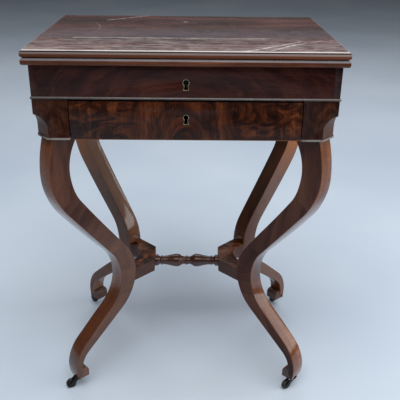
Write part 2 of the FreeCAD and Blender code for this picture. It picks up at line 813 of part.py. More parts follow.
inner_knee_height = knee_height + S.inner_knee_rise
inner_waist_height = S.waist_height + S.inner_waist_rise
inner_ankle_height = S.ankle_height - S.inner_ankle_drop
inner_knee_depth = S.knee_width - S.knee_reach
inner_waist_depth = S.waist_depth + S.waist_width
inner_ankle_depth = S.ankle_depth + S.ankle_width
inner_fall = inner_waist_height - inner_ankle_height
inner_knee = (leg_top - inner_waist_height) * INNER_KNEE_SHARE
inner_waist = waist_bow(inner_knee_height - inner_waist_height, inner_fall, INNER_WAIST_SHARE)
inner_ankle = inner_fall * INNER_ANKLE_SHARE
inner_bows = [
    ((-inner_ankle_depth - inner_ankle, inner_ankle_height), inner_ankle),
    ((inner_waist - inner_waist_depth, inner_waist_height), inner_waist),
    ((-inner_knee_depth - inner_knee, inner_knee_height), inner_knee),
]

# Where the waist blocks and the stretcher meet the legs
waist_block_z = S.waist_height + S.waist_block_rise - S.waist_block_thickness / 2
stretcher_height = waist_block_z - S.stretcher_drop


def leg_plank(corner):
    """The plank sawn to its double curve, with a notch behind the toe for the heel block."""
    body = doc.addObject("PartDesign::Body", f"plank_{corner}")
    sketch = sketch_in(body, "XZ_Plane")
    knee, toe = add_curve(sketch, outer_bows, (1, -1), knee_height, toe_height)
    ankle, top = add_curve(sketch, inner_bows, (-1, 1), inner_ankle_height, leg_top)
    shoulder_run = math.sqrt(S.shoulder_bow.value ** 2 - S.knee_drop.value ** 2)
    shoulder_x = shoulder_centre[0].value + shoulder_run
    shoulder = FreeCAD.Vector(shoulder_x, leg_top.value, 0)
    shoulder_ends = add_bow(sketch, shoulder_centre, S.shoulder_bow, shoulder, knee[1])
    constrain(sketch, "DistanceY", -1, 1, *shoulder_ends[0], amount=leg_top)
    constrain(sketch, "DistanceY", -1, 1, *shoulder_ends[1], amount=knee_height)
    top_run = sketch.addGeometry(Part.LineSegment(top[1], shoulder))
    constrain(sketch, "Coincident", *top[0], top_run, 1)
    constrain(sketch, "Coincident", *shoulder_ends[0], top_run, 2)
    steps = [
        (-notch_depth, toe_height), (-notch_depth, notch_top),
        (-inner_ankle_depth, notch_top), (-inner_ankle_depth, inner_ankle_height),
    ]
    last_end = toe[0]
    last_point = toe[1]
    for step in steps:
        point = flat_point(*step)
        run = sketch.addGeometry(Part.LineSegment(last_point, point))
        constrain(sketch, "Coincident", *last_end, run, 1)
        fix_point(sketch, run, 2, *step)
        last_end = (run, 2)
        last_point = point
    pad(body, sketch, S.leg_thickness)
    return stand_on_corner(body, corner)


def leg_dowels(corner, radius, length, ending):
    """Two upright dowels into the corner block and a level one into the waist block."""
    pegs = []
    for number, shift in enumerate((-(S.dowel_spacing / 2), S.dowel_spacing / 2)):
        x, y = on_leg(corner, S.dowel_depth + shift)
        pegs.append(rod(f"top_{ending}_{number}_{corner}", x, y, leg_top - length / 2, radius, length))
    level = rod(f"waist_{ending}_rod_{corner}", -inner_waist_depth - length / 2, 0, stretcher_height,
                radius, length, ACROSS)
    return pegs, stand_on_corner(group(f"waist_{ending}_{corner}", [level]), corner)


heel_outline = [
    (-notch_depth, toe_height), (-notch_depth, notch_top), (-inner_ankle_depth, notch_top),
    (-inner_ankle_depth, toe_height + S.heel_height),
    (S.heel_round - notch_depth - S.heel_length, toe_height + S.heel_height),
    (-notch_depth - S.heel_length, toe_height + S.heel_height - S.heel_round),
    (-notch_depth - S.heel_length, toe_height),
]
caster_pin_depth = notch_depth + S.caster_pin_inset
heel_blocks, caster_plates, dowels = [], [], []
planks, leg_holes, waist_holes = {}, {}, {}
for corner in CORNERS:
    planks[corner] = leg_plank(corner)
    pegs, level_peg = leg_dowels(corner, S.dowel_radius, S.dowel_length, "dowel")
    dowels += pegs + [level_peg]
    leg_holes[corner], waist_holes[corner] = leg_dowels(
        corner, S.dowel_radius + S.dowel_clearance, S.dowel_length + S.dowel_clearance * 2, "hole"
    )
    cut(f"leg_{corner}", planks[corner], leg_holes[corner] + [waist_holes[corner]])
    heel = plate(f"heel_blank_{corner}", "XZ_Plane", heel_outline, S.heel_width, {4: -S.heel_round})
    stand_on_corner(heel, corner)
    pin_x, pin_y = on_leg(corner, caster_pin_depth)
    bore = rod(f"heel_bore_{corner}", pin_x, pin_y, toe_height - S.overrun,
               S.caster_pin_radius + S.caster_pin_clearance, S.caster_pin_length + S.overrun + S.caster_disc_gap)
    heel_blocks.append(cut(f"heel_{corner}", heel, [bore]))
    disc = rod(f"caster_plate_blank_{corner}", pin_x, pin_y, toe_height - S.caster_plate,
               S.caster_plate_radius, S.caster_plate)
    caster_plates.append(cut(f"caster_plate_{corner}", disc, [bore]))
group("dowels", dowels)
group("heel_blocks", heel_blocks)

# Lower frieze: corner blocks with a stopped chamfer that ends in a lamb's tongue, over a foot bead


def chamfer_tool(corner):
    """What the chamfer takes off a corner: square below, with an ogee at its upper end."""
    tongue = chamfer_depth / 2
    stop = bead_bottom - S.tongue_drop
    low = leg_top - S.overrun
    out = chamfer_depth + S.overrun
    corners = [
        (sized(0), low), (out, low), (out, stop), (chamfer_depth, stop),
        (tongue, stop - tongue), (sized(0), stop - chamfer_depth),
    ]
    tool = plate(f"chamfer_{corner}", "XZ_Plane", corners, S.leg_thickness * 2, {3: tongue, 4: -tongue})
    return stand_on_corner(tool, corner)


block_y = frieze_y - S.corner_block_depth
for corner, (side, end) in CORNERS.items():
    square = box(f"block_square_{corner}", span(side, opening_x, frieze_x), span(end, block_y, frieze_y),
                 (leg_top, bead_bottom))
    chamfered = cut(f"block_chamfered_{corner}", square, [chamfer_tool(corner)])
    out_x = frieze_x + S.foot_bead_proud
    out_y = frieze_y + S.foot_bead_proud
    bead_plan = [
        (opening_x * side, block_y * end), (out_x * side, block_y * end),
        (out_x * side, (out_y - chamfer_y) * end), ((out_x - chamfer_x) * side, out_y * end),
        (opening_x * side, out_y * end),
    ]
    foot = plate(f"block_foot_{corner}", "XY_Plane", bead_plan, S.foot_bead_height)
    place(foot, 0, 0, leg_top + S.foot_bead_height / 2)
    cut(f"corner_block_{corner}", fuse(f"block_blank_{corner}", [chamfered, foot]), leg_holes[corner])

for side_name, side in SIDES.items():
    box(f"side_panel_{side_name}", span(side, inside_x, frieze_x), (-block_y, block_y),
        (leg_top, bead_bottom))
    guide = box(f"guide_{side_name}", span(side, opening_x, opening_x + S.guide_width), (-block_y, block_y),
                (leg_top, leg_top + S.guide_height))
    ledge = box(f"ledge_{side_name}", span(side, opening_x - S.runner_ledge, opening_x),
                (S.drawer_front + S.runner_clearance - frieze_y, inside_y), (leg_top, leg_top + S.runner_height))
    fuse(f"drawer_runner_{side_name}", [guide, ledge])
box("back_panel", (-opening_x, opening_x), (inside_y, frieze_y), (leg_top, bead_bottom))

# Drawer
drawer_x = opening_x - S.drawer_gap
drawer_front_y = (-frieze_y, S.drawer_front - frieze_y)
drawer_back_y = inside_y - S.drawer_back_gap
drawer_top = bead_bottom - S.drawer_top_gap
side_bottom = leg_top + S.runner_height + S.runner_clearance
side_top = bead_bottom - S.drawer_side_drop
panel_z = (side_bottom + S.drawer_bottom_rise, side_bottom + S.drawer_bottom_rise + S.drawer_bottom)
inner_drawer_x = drawer_x - S.drawer_side
panel_x = inner_drawer_x + S.drawer_bottom_groove
panel_y = (drawer_front_y[1] - S.drawer_bottom_groove, drawer_back_y)
panel = box("drawer_bottom", (-panel_x, panel_x), panel_y, panel_z)
drawer_cuts, drawer_bolt_y = lock("drawer", drawer_top, -frieze_y, S.drawer_front,
                                  S.drawer_keyhole_radius, S.drawer_keyhole_height)
front_blank = box("drawer_front_blank", (-drawer_x, drawer_x), drawer_front_y,
                  (leg_top + S.drawer_gap, drawer_top))
cut("drawer_front", front_blank, drawer_cuts + [panel])
for side_name, side in SIDES.items():
    blank = box(f"drawer_side_blank_{side_name}", span(side, inner_drawer_x, drawer_x),
                (drawer_front_y[1], drawer_back_y), (side_bottom, side_top))
    cut(f"drawer_side_{side_name}", blank, [panel])
box("drawer_back", (-inner_drawer_x, inner_drawer_x), (drawer_back_y - S.drawer_back, drawer_back_y),
    (panel_z[1], bead_bottom - S.drawer_back_drop))

# The front rail has room for the drawer's bolt when it is shot
drawer_keep = box(
    "drawer_keep", (-keep_x, keep_x),
    (drawer_bolt_y[0] - S.keep_clearance, drawer_bolt_y[1] + S.keep_clearance),
    (bead_bottom - S.overrun, well_bottom + S.overrun),
)
bead_rails["front"] = cut("rail_front_cut", bead_rails["front"], [drawer_keep])
group("bead_rails", list(bead_rails.values()))

# Waist blocks, coped to the legs at both ends, with a hollow on the outer side


def leg_face_corner(depth, across):
    """A corner of the right front leg's section in plan, at a depth and to one side of its middle plane."""
    half = S.leg_thickness / 2 * across
    x = corner_x - depth * cosine(S.leg_angle) + half * sine(S.leg_angle)
    y = corner_y - depth * sine(S.leg_angle) - half * cosine(S.leg_angle)
    return x, y


waist_block_end = leg_face_corner(inner_waist_depth, -1)[0] - S.waist_block_reach
for side_name, side in SIDES.items():
    coped = inner_waist_depth - S.waist_block_cope
    half_plan = [
        (waist_block_end, S.waist_block_end_width / 2), leg_face_corner(inner_waist_depth, -1),
        leg_face_corner(coped, -1), leg_face_corner(coped, 1), leg_face_corner(inner_waist_depth, 1),
    ]
    front_half = [(x * side, -y) for x, y in half_plan]
    back_half = [(x * side, y) for x, y in reversed(half_plan)]
    hollow = half_plan[-1][1] * HOLLOW_BOW_SHARE * side
    blank = plate(f"waist_blank_{side_name}", "XY_Plane", front_half + back_half,
                  S.waist_block_thickness, {4: hollow})
    place(blank, 0, 0, waist_block_z)
    spigot_end = waist_block_end + S.spigot_length + S.dowel_clearance
    spigot_x = span(side, waist_block_end - S.overrun, spigot_end)
    spigot_hole = rod(f"spigot_hole_{side_name}", spigot_x[0], 0, stretcher_height,
                      S.spigot_radius + S.dowel_clearance, spigot_x[1] - spigot_x[0], ACROSS)
    ends = [f"front_{side_name}", f"back_{side_name}"]
    tools = [planks[corner] for corner in ends] + [waist_holes[corner] for corner in ends]
    cut(f"waist_block_{side_name}", blank, tools + [spigot_hole])

# Turned stretcher, drawn from its middle to one end and mirrored


def top_bow(run, rise):
    """The radius of an arc that rises over a run to a level top."""
    return (run * run + rise * rise) / (rise * 2)


ring_length = waist_block_end * RING_SHARE
collar_start = waist_block_end - waist_block_end * COLLAR_SHARE
outer_ring_start = collar_start - ring_length
inner_ring_start = outer_ring_start - ring_length
bulb_end = inner_ring_start - waist_block_end * FILLET_SHARE
bulb_place = waist_block_end * BULB_SHARE
neck_place = waist_block_end * NECK_SHARE
centre_ring = waist_block_end * CENTRE_RING_SHARE
ring_bow = top_bow(ring_length / 2, S.ring_radius - S.fillet_radius)
centre_bow = top_bow(centre_ring / 2, S.centre_ring_proud)
half_turning = [
    (centre_ring / 2, S.neck_radius, centre_bow),
    (centre_ring * 1.5, S.neck_radius, None),
    (neck_place, S.neck_radius, top_bow(bulb_place - neck_place, S.bulb_radius - S.neck_radius)),
    (bulb_place, S.bulb_radius, top_bow(bulb_end - bulb_place, S.bulb_radius - S.fillet_radius)),
    (bulb_end, S.fillet_radius, None),
    (inner_ring_start, S.fillet_radius, ring_bow),
    (outer_ring_start, S.fillet_radius, ring_bow),
    (collar_start, S.fillet_radius, None),
    (collar_start, S.collar_radius, None),
    (waist_block_end, S.collar_radius, None),
    (waist_block_end, S.spigot_radius, None),
    (waist_block_end + S.spigot_length, S.spigot_radius, None),
    (waist_block_end + S.spigot_length, sized(0), None),
]
profile = [(-x, radius) for x, radius, bow in reversed(half_turning)]
bows = {}
for number, (x, radius, bow) in enumerate(half_turning):
    if bow is not None:
        bows[len(half_turning) - 2 - number] = bow
        bows[len(half_turning) + number] = bow
bows[len(half_turning) - 1] = centre_bow
profile += [(x, radius) for x, radius, bow in half_turning]
stretcher_body = revolved("stretcher", profile, bows)
place(stretcher_body, 0, 0, stretcher_height)

# Casters: each turns under its plate on a pin in the heel block, and its wheel trails to one side
disc_top = toe_height - S.caster_plate - S.caster_disc_gap
disc_bottom = disc_top - S.caster_disc
cheek_inside = S.wheel_width / 2 + S.wheel_gap
axle_length = (cheek_inside + S.cheek_thickness) * 2
for corner, heading in CASTER_HEADINGS.items():
    x, y = on_leg(corner, caster_pin_depth)
    pin = rod(f"horn_pin_{corner}", 0, 0, disc_bottom, S.caster_pin_radius,
              toe_height + S.caster_pin_length - disc_bottom)
    disc = rod(f"horn_disc_{corner}", 0, 0, disc_bottom, S.caster_disc_radius, S.caster_disc)
    roots = [S.caster_disc_radius * share for share in CHEEK_ROOT_SHARES]
    cheek_plan = [
        (roots[0], disc_top), (roots[0], disc_bottom), (S.caster_trail - S.cheek_boss, S.wheel_radius),
        (S.caster_trail, S.wheel_radius - S.cheek_boss), (S.caster_trail + S.cheek_boss, S.wheel_radius),
        (roots[1], disc_top),
    ]
    cheeks = []
    for hand in (-1, 1):
        cheek = plate(f"horn_cheek_{corner}_{hand + 1}", "XZ_Plane", cheek_plan, S.cheek_thickness)
        cheeks.append(place(cheek, 0, (cheek_inside + S.cheek_thickness / 2) * hand, 0))
    axle = rod(f"axle_rod_{corner}", S.caster_trail, -axle_length / 2, S.wheel_radius, S.axle_radius,
               axle_length, BACKWARD)
    horn = cut(f"caster_horn_{corner}", fuse(f"horn_blank_{corner}", [pin, disc] + cheeks), [axle])
    wheel_profile = [
        (-S.wheel_width / 2, S.axle_radius + S.axle_clearance),
        (-S.wheel_width / 2, S.wheel_radius - S.wheel_round),
        (S.wheel_round - S.wheel_width / 2, S.wheel_radius),
        (S.wheel_width / 2 - S.wheel_round, S.wheel_radius),
        (S.wheel_width / 2, S.wheel_radius - S.wheel_round),
        (S.wheel_width / 2, S.axle_radius + S.axle_clearance),
    ]
    tread = revolved(f"wheel_body_{corner}", wheel_profile, {1: S.wheel_round, 3: S.wheel_round})
    place(tread, S.caster_trail, 0, S.wheel_radius, FreeCAD.Rotation(ACROSS, BACKWARD))
    wheel = group(f"caster_wheel_{corner}", [tread])
    for piece in (horn, wheel, group(f"caster_axle_{corner}", [axle])):
        place(piece, x, y, 0, FreeCAD.Rotation(UP, heading))
group("caster_plates", caster_plates)

SUBPARTS = [
    "upper_leaf", "lower_leaf", "upper_lining", "lower_lining", "lower_hinge_plates", "upper_hinge_plates",
    "hinge_pins", "lower_hinge_screws", "upper_hinge_screws", "pivot_bolt", "pivot_nut",
    "frieze_front", "frieze_back", "frieze_left", "frieze_right", "bead_rails", "well_floor", "pivot_batten",
    "well_lock_case", "well_lock_bolt", "well_keyhole_thread", "back_panel",
    "drawer_front", "drawer_side_left", "drawer_side_right", "drawer_back", "drawer_bottom",
    "drawer_lock_case", "drawer_lock_bolt", "drawer_keyhole_thread",
    "heel_blocks", "stretcher", "dowels", "caster_plates",
]
for side_name in SIDES:
    SUBPARTS += [f"side_panel_{side_name}", f"drawer_runner_{side_name}", f"waist_block_{side_name}"]
for corner in CORNERS:
    SUBPARTS += [f"corner_block_{corner}", f"leg_{corner}"]
    SUBPARTS += [f"caster_horn_{corner}", f"caster_axle_{corner}", f"caster_wheel_{corner}"]

doc.recompute()
for thing in doc.Objects:
    if "Invalid" in thing.State or "Error" in thing.State:
        raise RuntimeError(f"{thing.Name} did not recompute: {thing.State}")
for name in SUBPARTS:
    shape = doc.getObject(name).Shape
    if shape.isNull() or not shape.isValid() or not shape.Solids:
        raise RuntimeError(f"{name} has no valid solid")
os.makedirs("parts", exist_ok=True)
for name in SUBPARTS:
    piece = doc.getObject(name)
    piece.Label = name
    piece.Shape.exportStep(f"parts/{name}.step")
print(len(SUBPARTS), "sub-parts written")
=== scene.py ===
import math

import bmesh
import bpy
import numpy as np
from mathutils import Matrix


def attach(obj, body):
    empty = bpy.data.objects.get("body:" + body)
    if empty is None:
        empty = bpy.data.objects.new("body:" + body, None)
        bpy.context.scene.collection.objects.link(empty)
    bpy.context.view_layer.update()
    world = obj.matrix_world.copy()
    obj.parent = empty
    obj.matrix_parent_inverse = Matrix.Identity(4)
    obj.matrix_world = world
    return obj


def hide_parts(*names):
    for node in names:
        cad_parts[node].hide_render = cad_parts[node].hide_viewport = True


# A fold-over writing desk in old polished mahogany: an upper frieze round a well, under a top that turns
# and opens, a drawer below, and four double-curved legs tied at the waist by blocks and a stretcher.
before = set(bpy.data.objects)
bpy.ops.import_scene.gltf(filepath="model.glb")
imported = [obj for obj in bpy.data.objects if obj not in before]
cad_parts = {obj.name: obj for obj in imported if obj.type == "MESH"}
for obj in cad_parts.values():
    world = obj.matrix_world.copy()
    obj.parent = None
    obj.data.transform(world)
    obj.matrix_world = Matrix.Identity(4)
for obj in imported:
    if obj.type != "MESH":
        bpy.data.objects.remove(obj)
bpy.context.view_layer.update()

# ---------------------------------------------------------------- Legs
# Each leg is sawn from thick plank to a double curve, doweled under its corner block and veneered:
# short lengths of mahogany side by side on its flat faces, one long rippled strip round each edge.


class Shade:
    """A socket of a material's nodes. Sums written with it add Math nodes."""

    def __init__(self, tree, socket):
        self.tree = tree
        self.socket = socket

    def node(self, kind, inputs=None, output=0, stops=None, **settings):
        """A new node: its settings and stops first, then the values or links of its sockets."""
        made = self.tree.nodes.new("ShaderNode" + kind)
        for name, setting in settings.items():
            setattr(made, name, setting)
        if stops:
            elements = made.color_ramp.elements
            while len(elements) < len(stops):
                elements.new(1)
            for element, (place, colour) in zip(elements, stops):
                element.position = place
                element.color = (*colour, 1)
        for name, value in (inputs or {}).items():
            if isinstance(value, Shade):
                self.tree.links.new(value.socket, made.inputs[name])
            else:
                made.inputs[name].default_value = value
        return Shade(self.tree, made.outputs[output])

    def math(self, operation, *values):
        return self.node("Math", dict(enumerate(values)), operation=operation)

    def __add__(self, other):
        return self.math("ADD", self, other)

    def __sub__(self, other):
        return self.math("SUBTRACT", self, other)

    def __rsub__(self, other):
        return self.math("SUBTRACT", other, self)

    def __mul__(self, other):
        return self.math("MULTIPLY", self, other)

    def __truediv__(self, other):
        return self.math("DIVIDE", self, other)

    def __abs__(self):
        return self.math("ABSOLUTE", self)

    __radd__ = __add__
    __rmul__ = __mul__

    def parts(self):
        """The three numbers of a vector."""
        outputs = self.node("SeparateXYZ", {0: self}).socket.node.outputs
        return [Shade(self.tree, outputs[number]) for number in range(3)]

    def noise(self, x, y, z=0.0, detail=2.0, roughness=0.5, distortion=0.0):
        """Smooth noise about 0.5, one blotch about one unit across."""
        place = self.node("CombineXYZ", {0: x, 1: y, 2: z})
        return self.node("TexNoise", {"Vector": place, "Scale": 1.0, "Detail": detail,
                                      "Roughness": roughness, "Distortion": distortion})

    def eased(self, low, high):
        """A smooth step from 0 at low to 1 at high, whichever of the two is the larger."""
        return self.node("MapRange", {"Value": self, "From Min": low, "From Max": high},
                         interpolation_type="SMOOTHSTEP")

    def mixed(self, first, second):
        """A colour between two, by this value."""
        first, second = (colour if isinstance(colour, Shade) else (*colour, 1) for colour in (first, second))
        return self.node("Mix", {0: self, 6: first, 7: second}, output=2, data_type="RGBA")


class Finish:
    """A material with its shader's constants, and the places to lay a pattern by."""

    def __init__(self, name, **constants):
        self.material = bpy.data.materials.new(name)
        self.material.use_nodes = True
        self.tree = self.material.node_tree
        self.shader = self.tree.nodes["Principled BSDF"]
        for socket, value in constants.items():
            self.shader.inputs[socket.replace("_", " ")].default_value = value
        coordinates = self.tree.nodes.new("ShaderNodeTexCoord")
        self.place = Shade(self.tree, coordinates.outputs["Object"])
        self.laid = Shade(self.tree, coordinates.outputs["UV"])

    def feed(self, **sockets):
        for socket, value in sockets.items():
            self.tree.links.new(value.socket, self.shader.inputs[socket.replace("_", " ")])

    def relief(self, height, depth, strength=1.0):
        """Bumps from a height that goes from 0 to 1 over a depth in metres."""
        self.feed(Normal=height.node("Bump", {"Height": height, "Distance": depth, "Strength": strength}))


def mahogany(finish, run, side, depth, tones, ribbon=30.0, figure=None, overlay=None, roughness=0.30):
    """Old polished mahogany on a finish. run is metres along the grain, side and depth across it. Ribbons,
    fibres and pores are noises drawn out along the run, and set where a colour lies between tones, dark
    to light. figure bends the ribbons into a bolder pattern. The mask and colour given last are laid over
    the wood, which is duller there; most uses paint light and shade with them, and a few paint real marks."""
    ribbons = run.noise(run * 4.0, side * ribbon, depth * ribbon, 3.0, 0.55, 0.8)
    fibres = run.noise(run * 22.0, side * 620.0, depth * 620.0, 2.0, 0.6)
    pores = run.noise(run * 110.0, side * 2100.0, depth * 2100.0, 1.0).eased(0.60, 0.70)
    clouds = run.noise(run * 8.0, side * 10.0, depth * 10.0, 3.0)
    value = ribbons * 0.62 + fibres * 0.30 + clouds * 0.34 - 0.13
    if figure is not None:
        value = value * 0.55 + figure * 0.45
    colour = value.node("ValToRGB", {0: value}, stops=list(zip((0.34, 0.45, 0.55, 0.68), tones)))
    colour = (pores * 0.5).mixed(colour, [tone * 0.35 for tone in tones[0]])
    dull = clouds * 0.24 + fibres * 0.10 + pores * 0.10 + (roughness - 0.17)
    if overlay is not None:
        pale_mask, pale = overlay
        colour = pale_mask.mixed(colour, pale)
        dull = dull + pale_mask * 0.25
    finish.feed(Base_Color=colour, Roughness=dull)
    finish.relief(fibres * 0.5 + clouds * 0.4 - pores * 0.5, 0.0003, 0.4)
    return finish.material


def build(name, points, faces, body, materials, stands_for=(), face_materials=None, laid=None):
    """A closed mesh with its points in metres, turned right side out by the sign of its volume (the sum
    of every triangle's box product), with soft faces and crisp arrises, riding on a body."""
    loops = np.concatenate([np.ravel(part) for part in faces])
    sizes = np.concatenate([np.full(len(part), part.shape[1]) for part in faces])
    volume = sum(np.einsum("ij,ij->", points[part[:, 0]],
                           np.cross(points[part[:, k]], points[part[:, k + 1]]))
                 for part in faces for k in range(1, part.shape[1] - 1))
    starts = np.cumsum(sizes) - sizes
    if volume < 0:
        back = np.repeat(2 * starts + sizes - 1, sizes) - np.arange(len(loops))
        loops = loops[back]
        laid = laid[back] if laid is not None else None
    mesh = bpy.data.meshes.new(name)
    mesh.vertices.add(len(points))
    mesh.vertices.foreach_set("co", np.ravel(points))
    mesh.loops.add(len(loops))
    mesh.loops.foreach_set("vertex_index", loops)
    mesh.polygons.add(len(sizes))
    mesh.polygons.foreach_set("loop_start", starts)
    for material in materials:
        mesh.materials.append(material)
    if face_materials is not None:
        mesh.polygons.foreach_set("material_index", face_materials)
    if laid is not None:
        mesh.uv_layers.new(name="laid").uv.foreach_set("vector", np.ravel(laid))
    mesh.update(calc_edges=True)
    mesh.validate()
    mesh.shade_smooth()
    mesh.set_sharp_from_angle(angle=math.radians(40))
    piece = bpy.data.objects.new(name, mesh)
    bpy.context.scene.collection.objects.link(piece)
    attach(piece, body)
    if stands_for:
        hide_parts(*stands_for)
    return piece


def grid(rows, columns):
    """Quads between the rows of a grid of points, each row a closed ring of columns."""
    places = np.meshgrid(np.arange(rows - 1), np.arange(columns), indexing="ij")
    row, column = (part.ravel() for part in places)
    after = (column + 1) % columns
    return np.stack([row * columns + column, row * columns + after,
                     (row + 1) * columns + after, (row + 1) * columns + column], 1)


def leg_curve(bows, first, last, counts):
    """The leg's curve, going down: an arc, a straight run, an arc of the other hand, a run and an arc.
    A run touches both its arcs, so its ends lie where the line between the centres, swung by the angle
    whose cosine is the sum of the radii over their distance, meets them. The first arc and the last are
    given in two parts, split level with their centres, so that both curves of a leg have like strips."""
    swings = []
    for (centre, radius), (other, other_radius), lean in zip(bows, bows[1:], (1, -1)):
        way = np.subtract(other, centre)
        swing = math.acos((radius + other_radius) / math.hypot(*way))
        swings.append(math.atan2(way[1], way[0]) + lean * swing)
    knee, waist, ankle = bows
    turns = [(knee, first, 0.0), (knee, 0.0, swings[0]), (waist, swings[0] + math.pi, swings[1]),
             (ankle, swings[1] + math.pi, 0.0), (ankle, 0.0, last)]
    strips = []
    for ((centre, radius), start, end), count in zip(turns, counts):
        end = start + (end - start + math.pi) % (2 * math.pi) - math.pi
        angle = np.linspace(start, end, count)
        strips.append(np.add(centre, radius * np.stack([np.cos(angle), np.sin(angle)], 1)))
    return strips


def straight(start, end, count):
    """Points along a straight line, both ends among them."""
    return np.add(start, np.linspace(0, 1, count)[:, None] * np.subtract(end, start))


# The legs' places and thickness, and the radius of their arrises
leg_corner = (0.253558, 0.173792)
leg_angle = math.radians(42)
half_thickness = 0.0171
arris = 0.0011

# Heights, and places inward from the leg's corner: the heel's face and the back of the toe
leg_top, notch_top, toe = 0.5773, 0.038, 0.027
heel_face, toe_back = -0.0295, -0.021

# The centres and radii of the shoulder's arc and of the bows at knee, waist and ankle
shoulder_radius, shoulder_centre = 0.26, (-0.2554, 0.5)
outer_bows = [((-0.12748, 0.5), 0.13208), ((-0.047544, 0.24), 0.092956), ((-0.088925, 0.055), 0.074925)]
inner_bows = [((-0.145667, 0.507), 0.107967), ((-0.074011, 0.242), 0.104989), ((-0.07942, 0.05), 0.04992)]

# Points on each arc, on the straight runs between arcs and down the toe
counts = (14, 26, 44, 26, 8)
run_count, toe_count = 24, 6


def arc_angle(bow, height):
    """The angle on a bow at which its arc passes a height."""
    (_, centre_height), radius = bow
    return math.asin((height - centre_height) / radius)


outer = leg_curve(outer_bows, 0.0, arc_angle(outer_bows[2], notch_top), counts)
rise = np.linspace(arc_angle((shoulder_centre, shoulder_radius), leg_top), 0, counts[0])
outer[0] = np.add(shoulder_centre, shoulder_radius * np.stack([np.cos(rise), np.sin(rise)], 1))
inner = leg_curve(inner_bows, arc_angle(inner_bows[0], leg_top), 0.0, counts)
inner[4] = straight((heel_face, inner_bows[2][0][1]), (heel_face, notch_top), counts[4])
ankle_centre, ankle_radius = outer_bows[2]
toe_step = 0.0004
toe_turn = np.linspace(arc_angle(outer_bows[2], notch_top - toe_step), arc_angle(outer_bows[2], toe),
                       toe_count)
outer_toe = np.add(ankle_centre, ankle_radius * np.stack([np.cos(toe_turn), np.sin(toe_turn)], 1))
inner_toe = np.stack([np.full(toe_count, toe_back), outer_toe[:, 1]], 1)
edges = []
for strips, foot in ((outer, outer_toe), (inner, inner_toe)):
    upper_run = straight(strips[1][-1], strips[2][0], run_count)[1:-1]
    lower_run = straight(strips[2][-1], strips[3][0], run_count)[1:-1]
    edges.append(np.concatenate([strips[0][:-1], strips[1], upper_run, strips[2], lower_run, strips[3][:-1],
                                 strips[4], foot]))
outer_edge, inner_edge = edges
rows = len(outer_edge)


def pushed(edge, start, stop, push):
    """An edge whose stretch between two rows swells out by a push in metres, square to the edge. The
    push follows the square of a sine, so that it starts and stops without a kink."""
    row = np.arange(rows)
    swell = push * np.sin(np.pi * (row - start) / (stop - start)) ** 2 * ((row > start) & (row < stop))
    step = np.gradient(edge, axis=0)
    normal = np.stack([-step[:, 1], step[:, 0]], 1) / np.linalg.norm(step, axis=1)[:, None]
    return edge + normal * swell[:, None]


# The saw left the shoulder and the knee's underside fuller and the ankle slimmer than the drawn arcs. Each
# push is given by its first and last rows and its metres, and the rows of the feet keep their places.
shoulder_push, outer_knee_push, inner_knee_push = (-12, 42, 0.0012), (22, 66, 0.0036), (18, 66, 0.0030)
ankle_push = (108, 172, -0.0024)
outer_kept, inner_kept = 159, 140
outer_edge[:outer_kept] = pushed(pushed(outer_edge, *shoulder_push), *outer_knee_push)[:outer_kept]
outer_edge = pushed(outer_edge, *ankle_push)
inner_edge[:inner_kept] = pushed(inner_edge, *inner_knee_push)[:inner_kept]

# A leg's section: how far each point lies from the outer edge to the inner one, what its eased arris
# takes off there, and how far it lies across the thickness
turn = np.radians([0, 30, 60, 90])
first_off, second_off = arris * (1 - np.cos(turn)), arris * (1 - np.sin(turn))
between = np.linspace(0, 1, 8)[1:-1]
share = np.concatenate([np.zeros(4), between, np.ones(8), between[::-1], np.zeros(4)])
shift = np.concatenate([first_off, between * 0, -second_off, -second_off[::-1], between * 0, first_off[::-1]])
one_side = half_thickness - np.concatenate([second_off, between * 0, first_off])
level = np.concatenate([one_side, -one_side[::-1]])
columns = len(level)

# Under the knee the outer edge was planed off square: the arris toward the desk's middle is drawn in, by
# the square of a sine down the rows, fading to nothing at the far arris and at the inner edge
way = inner_edge - outer_edge
unit = way / np.linalg.norm(way, axis=1)[:, None]
row = np.arange(rows)
slant_start, slant_stop, most_slant = 8, 76, 0.0060
slant = most_slant * np.sin(np.pi * (row - slant_start) / (slant_stop - slant_start)) ** 2
slant *= (row > slant_start) & (row < slant_stop)
drawn_in = slant[:, None] * (1 - share) * (level + half_thickness) / (2 * half_thickness)
flat = (outer_edge[:, None] + way[:, None] * share[None, :, None]
        + unit[:, None] * (shift + drawn_in)[:, :, None])
middle = (outer_edge + inner_edge) / 2
length = np.concatenate([[0], np.cumsum(np.linalg.norm(np.diff(middle, axis=0), axis=1))])

leg_quads = grid(rows, columns)
leg_caps = np.stack([np.arange(columns), np.arange(columns)[::-1] + (rows - 1) * columns])
quad_column = np.tile(np.arange(columns), rows - 1)
quad_row = np.repeat(np.arange(rows - 1), columns)
half_way = columns // 2
on_side = (quad_column % half_way > 2) & (quad_column % half_way < 10)

# The lengths of veneer down a leg's side: the row each begins at, and how far its grain is turned
veneer_rows = [0, 33, 60, 76, 93]
veneer_turns = {"front_left": (2, 78, 6, 92, 0), "front_right": (-3, 28, -8, 90, 3),
                "back_left": (0, -60, 4, 90, 2), "back_right": (4, 70, 0, 88, -2)}


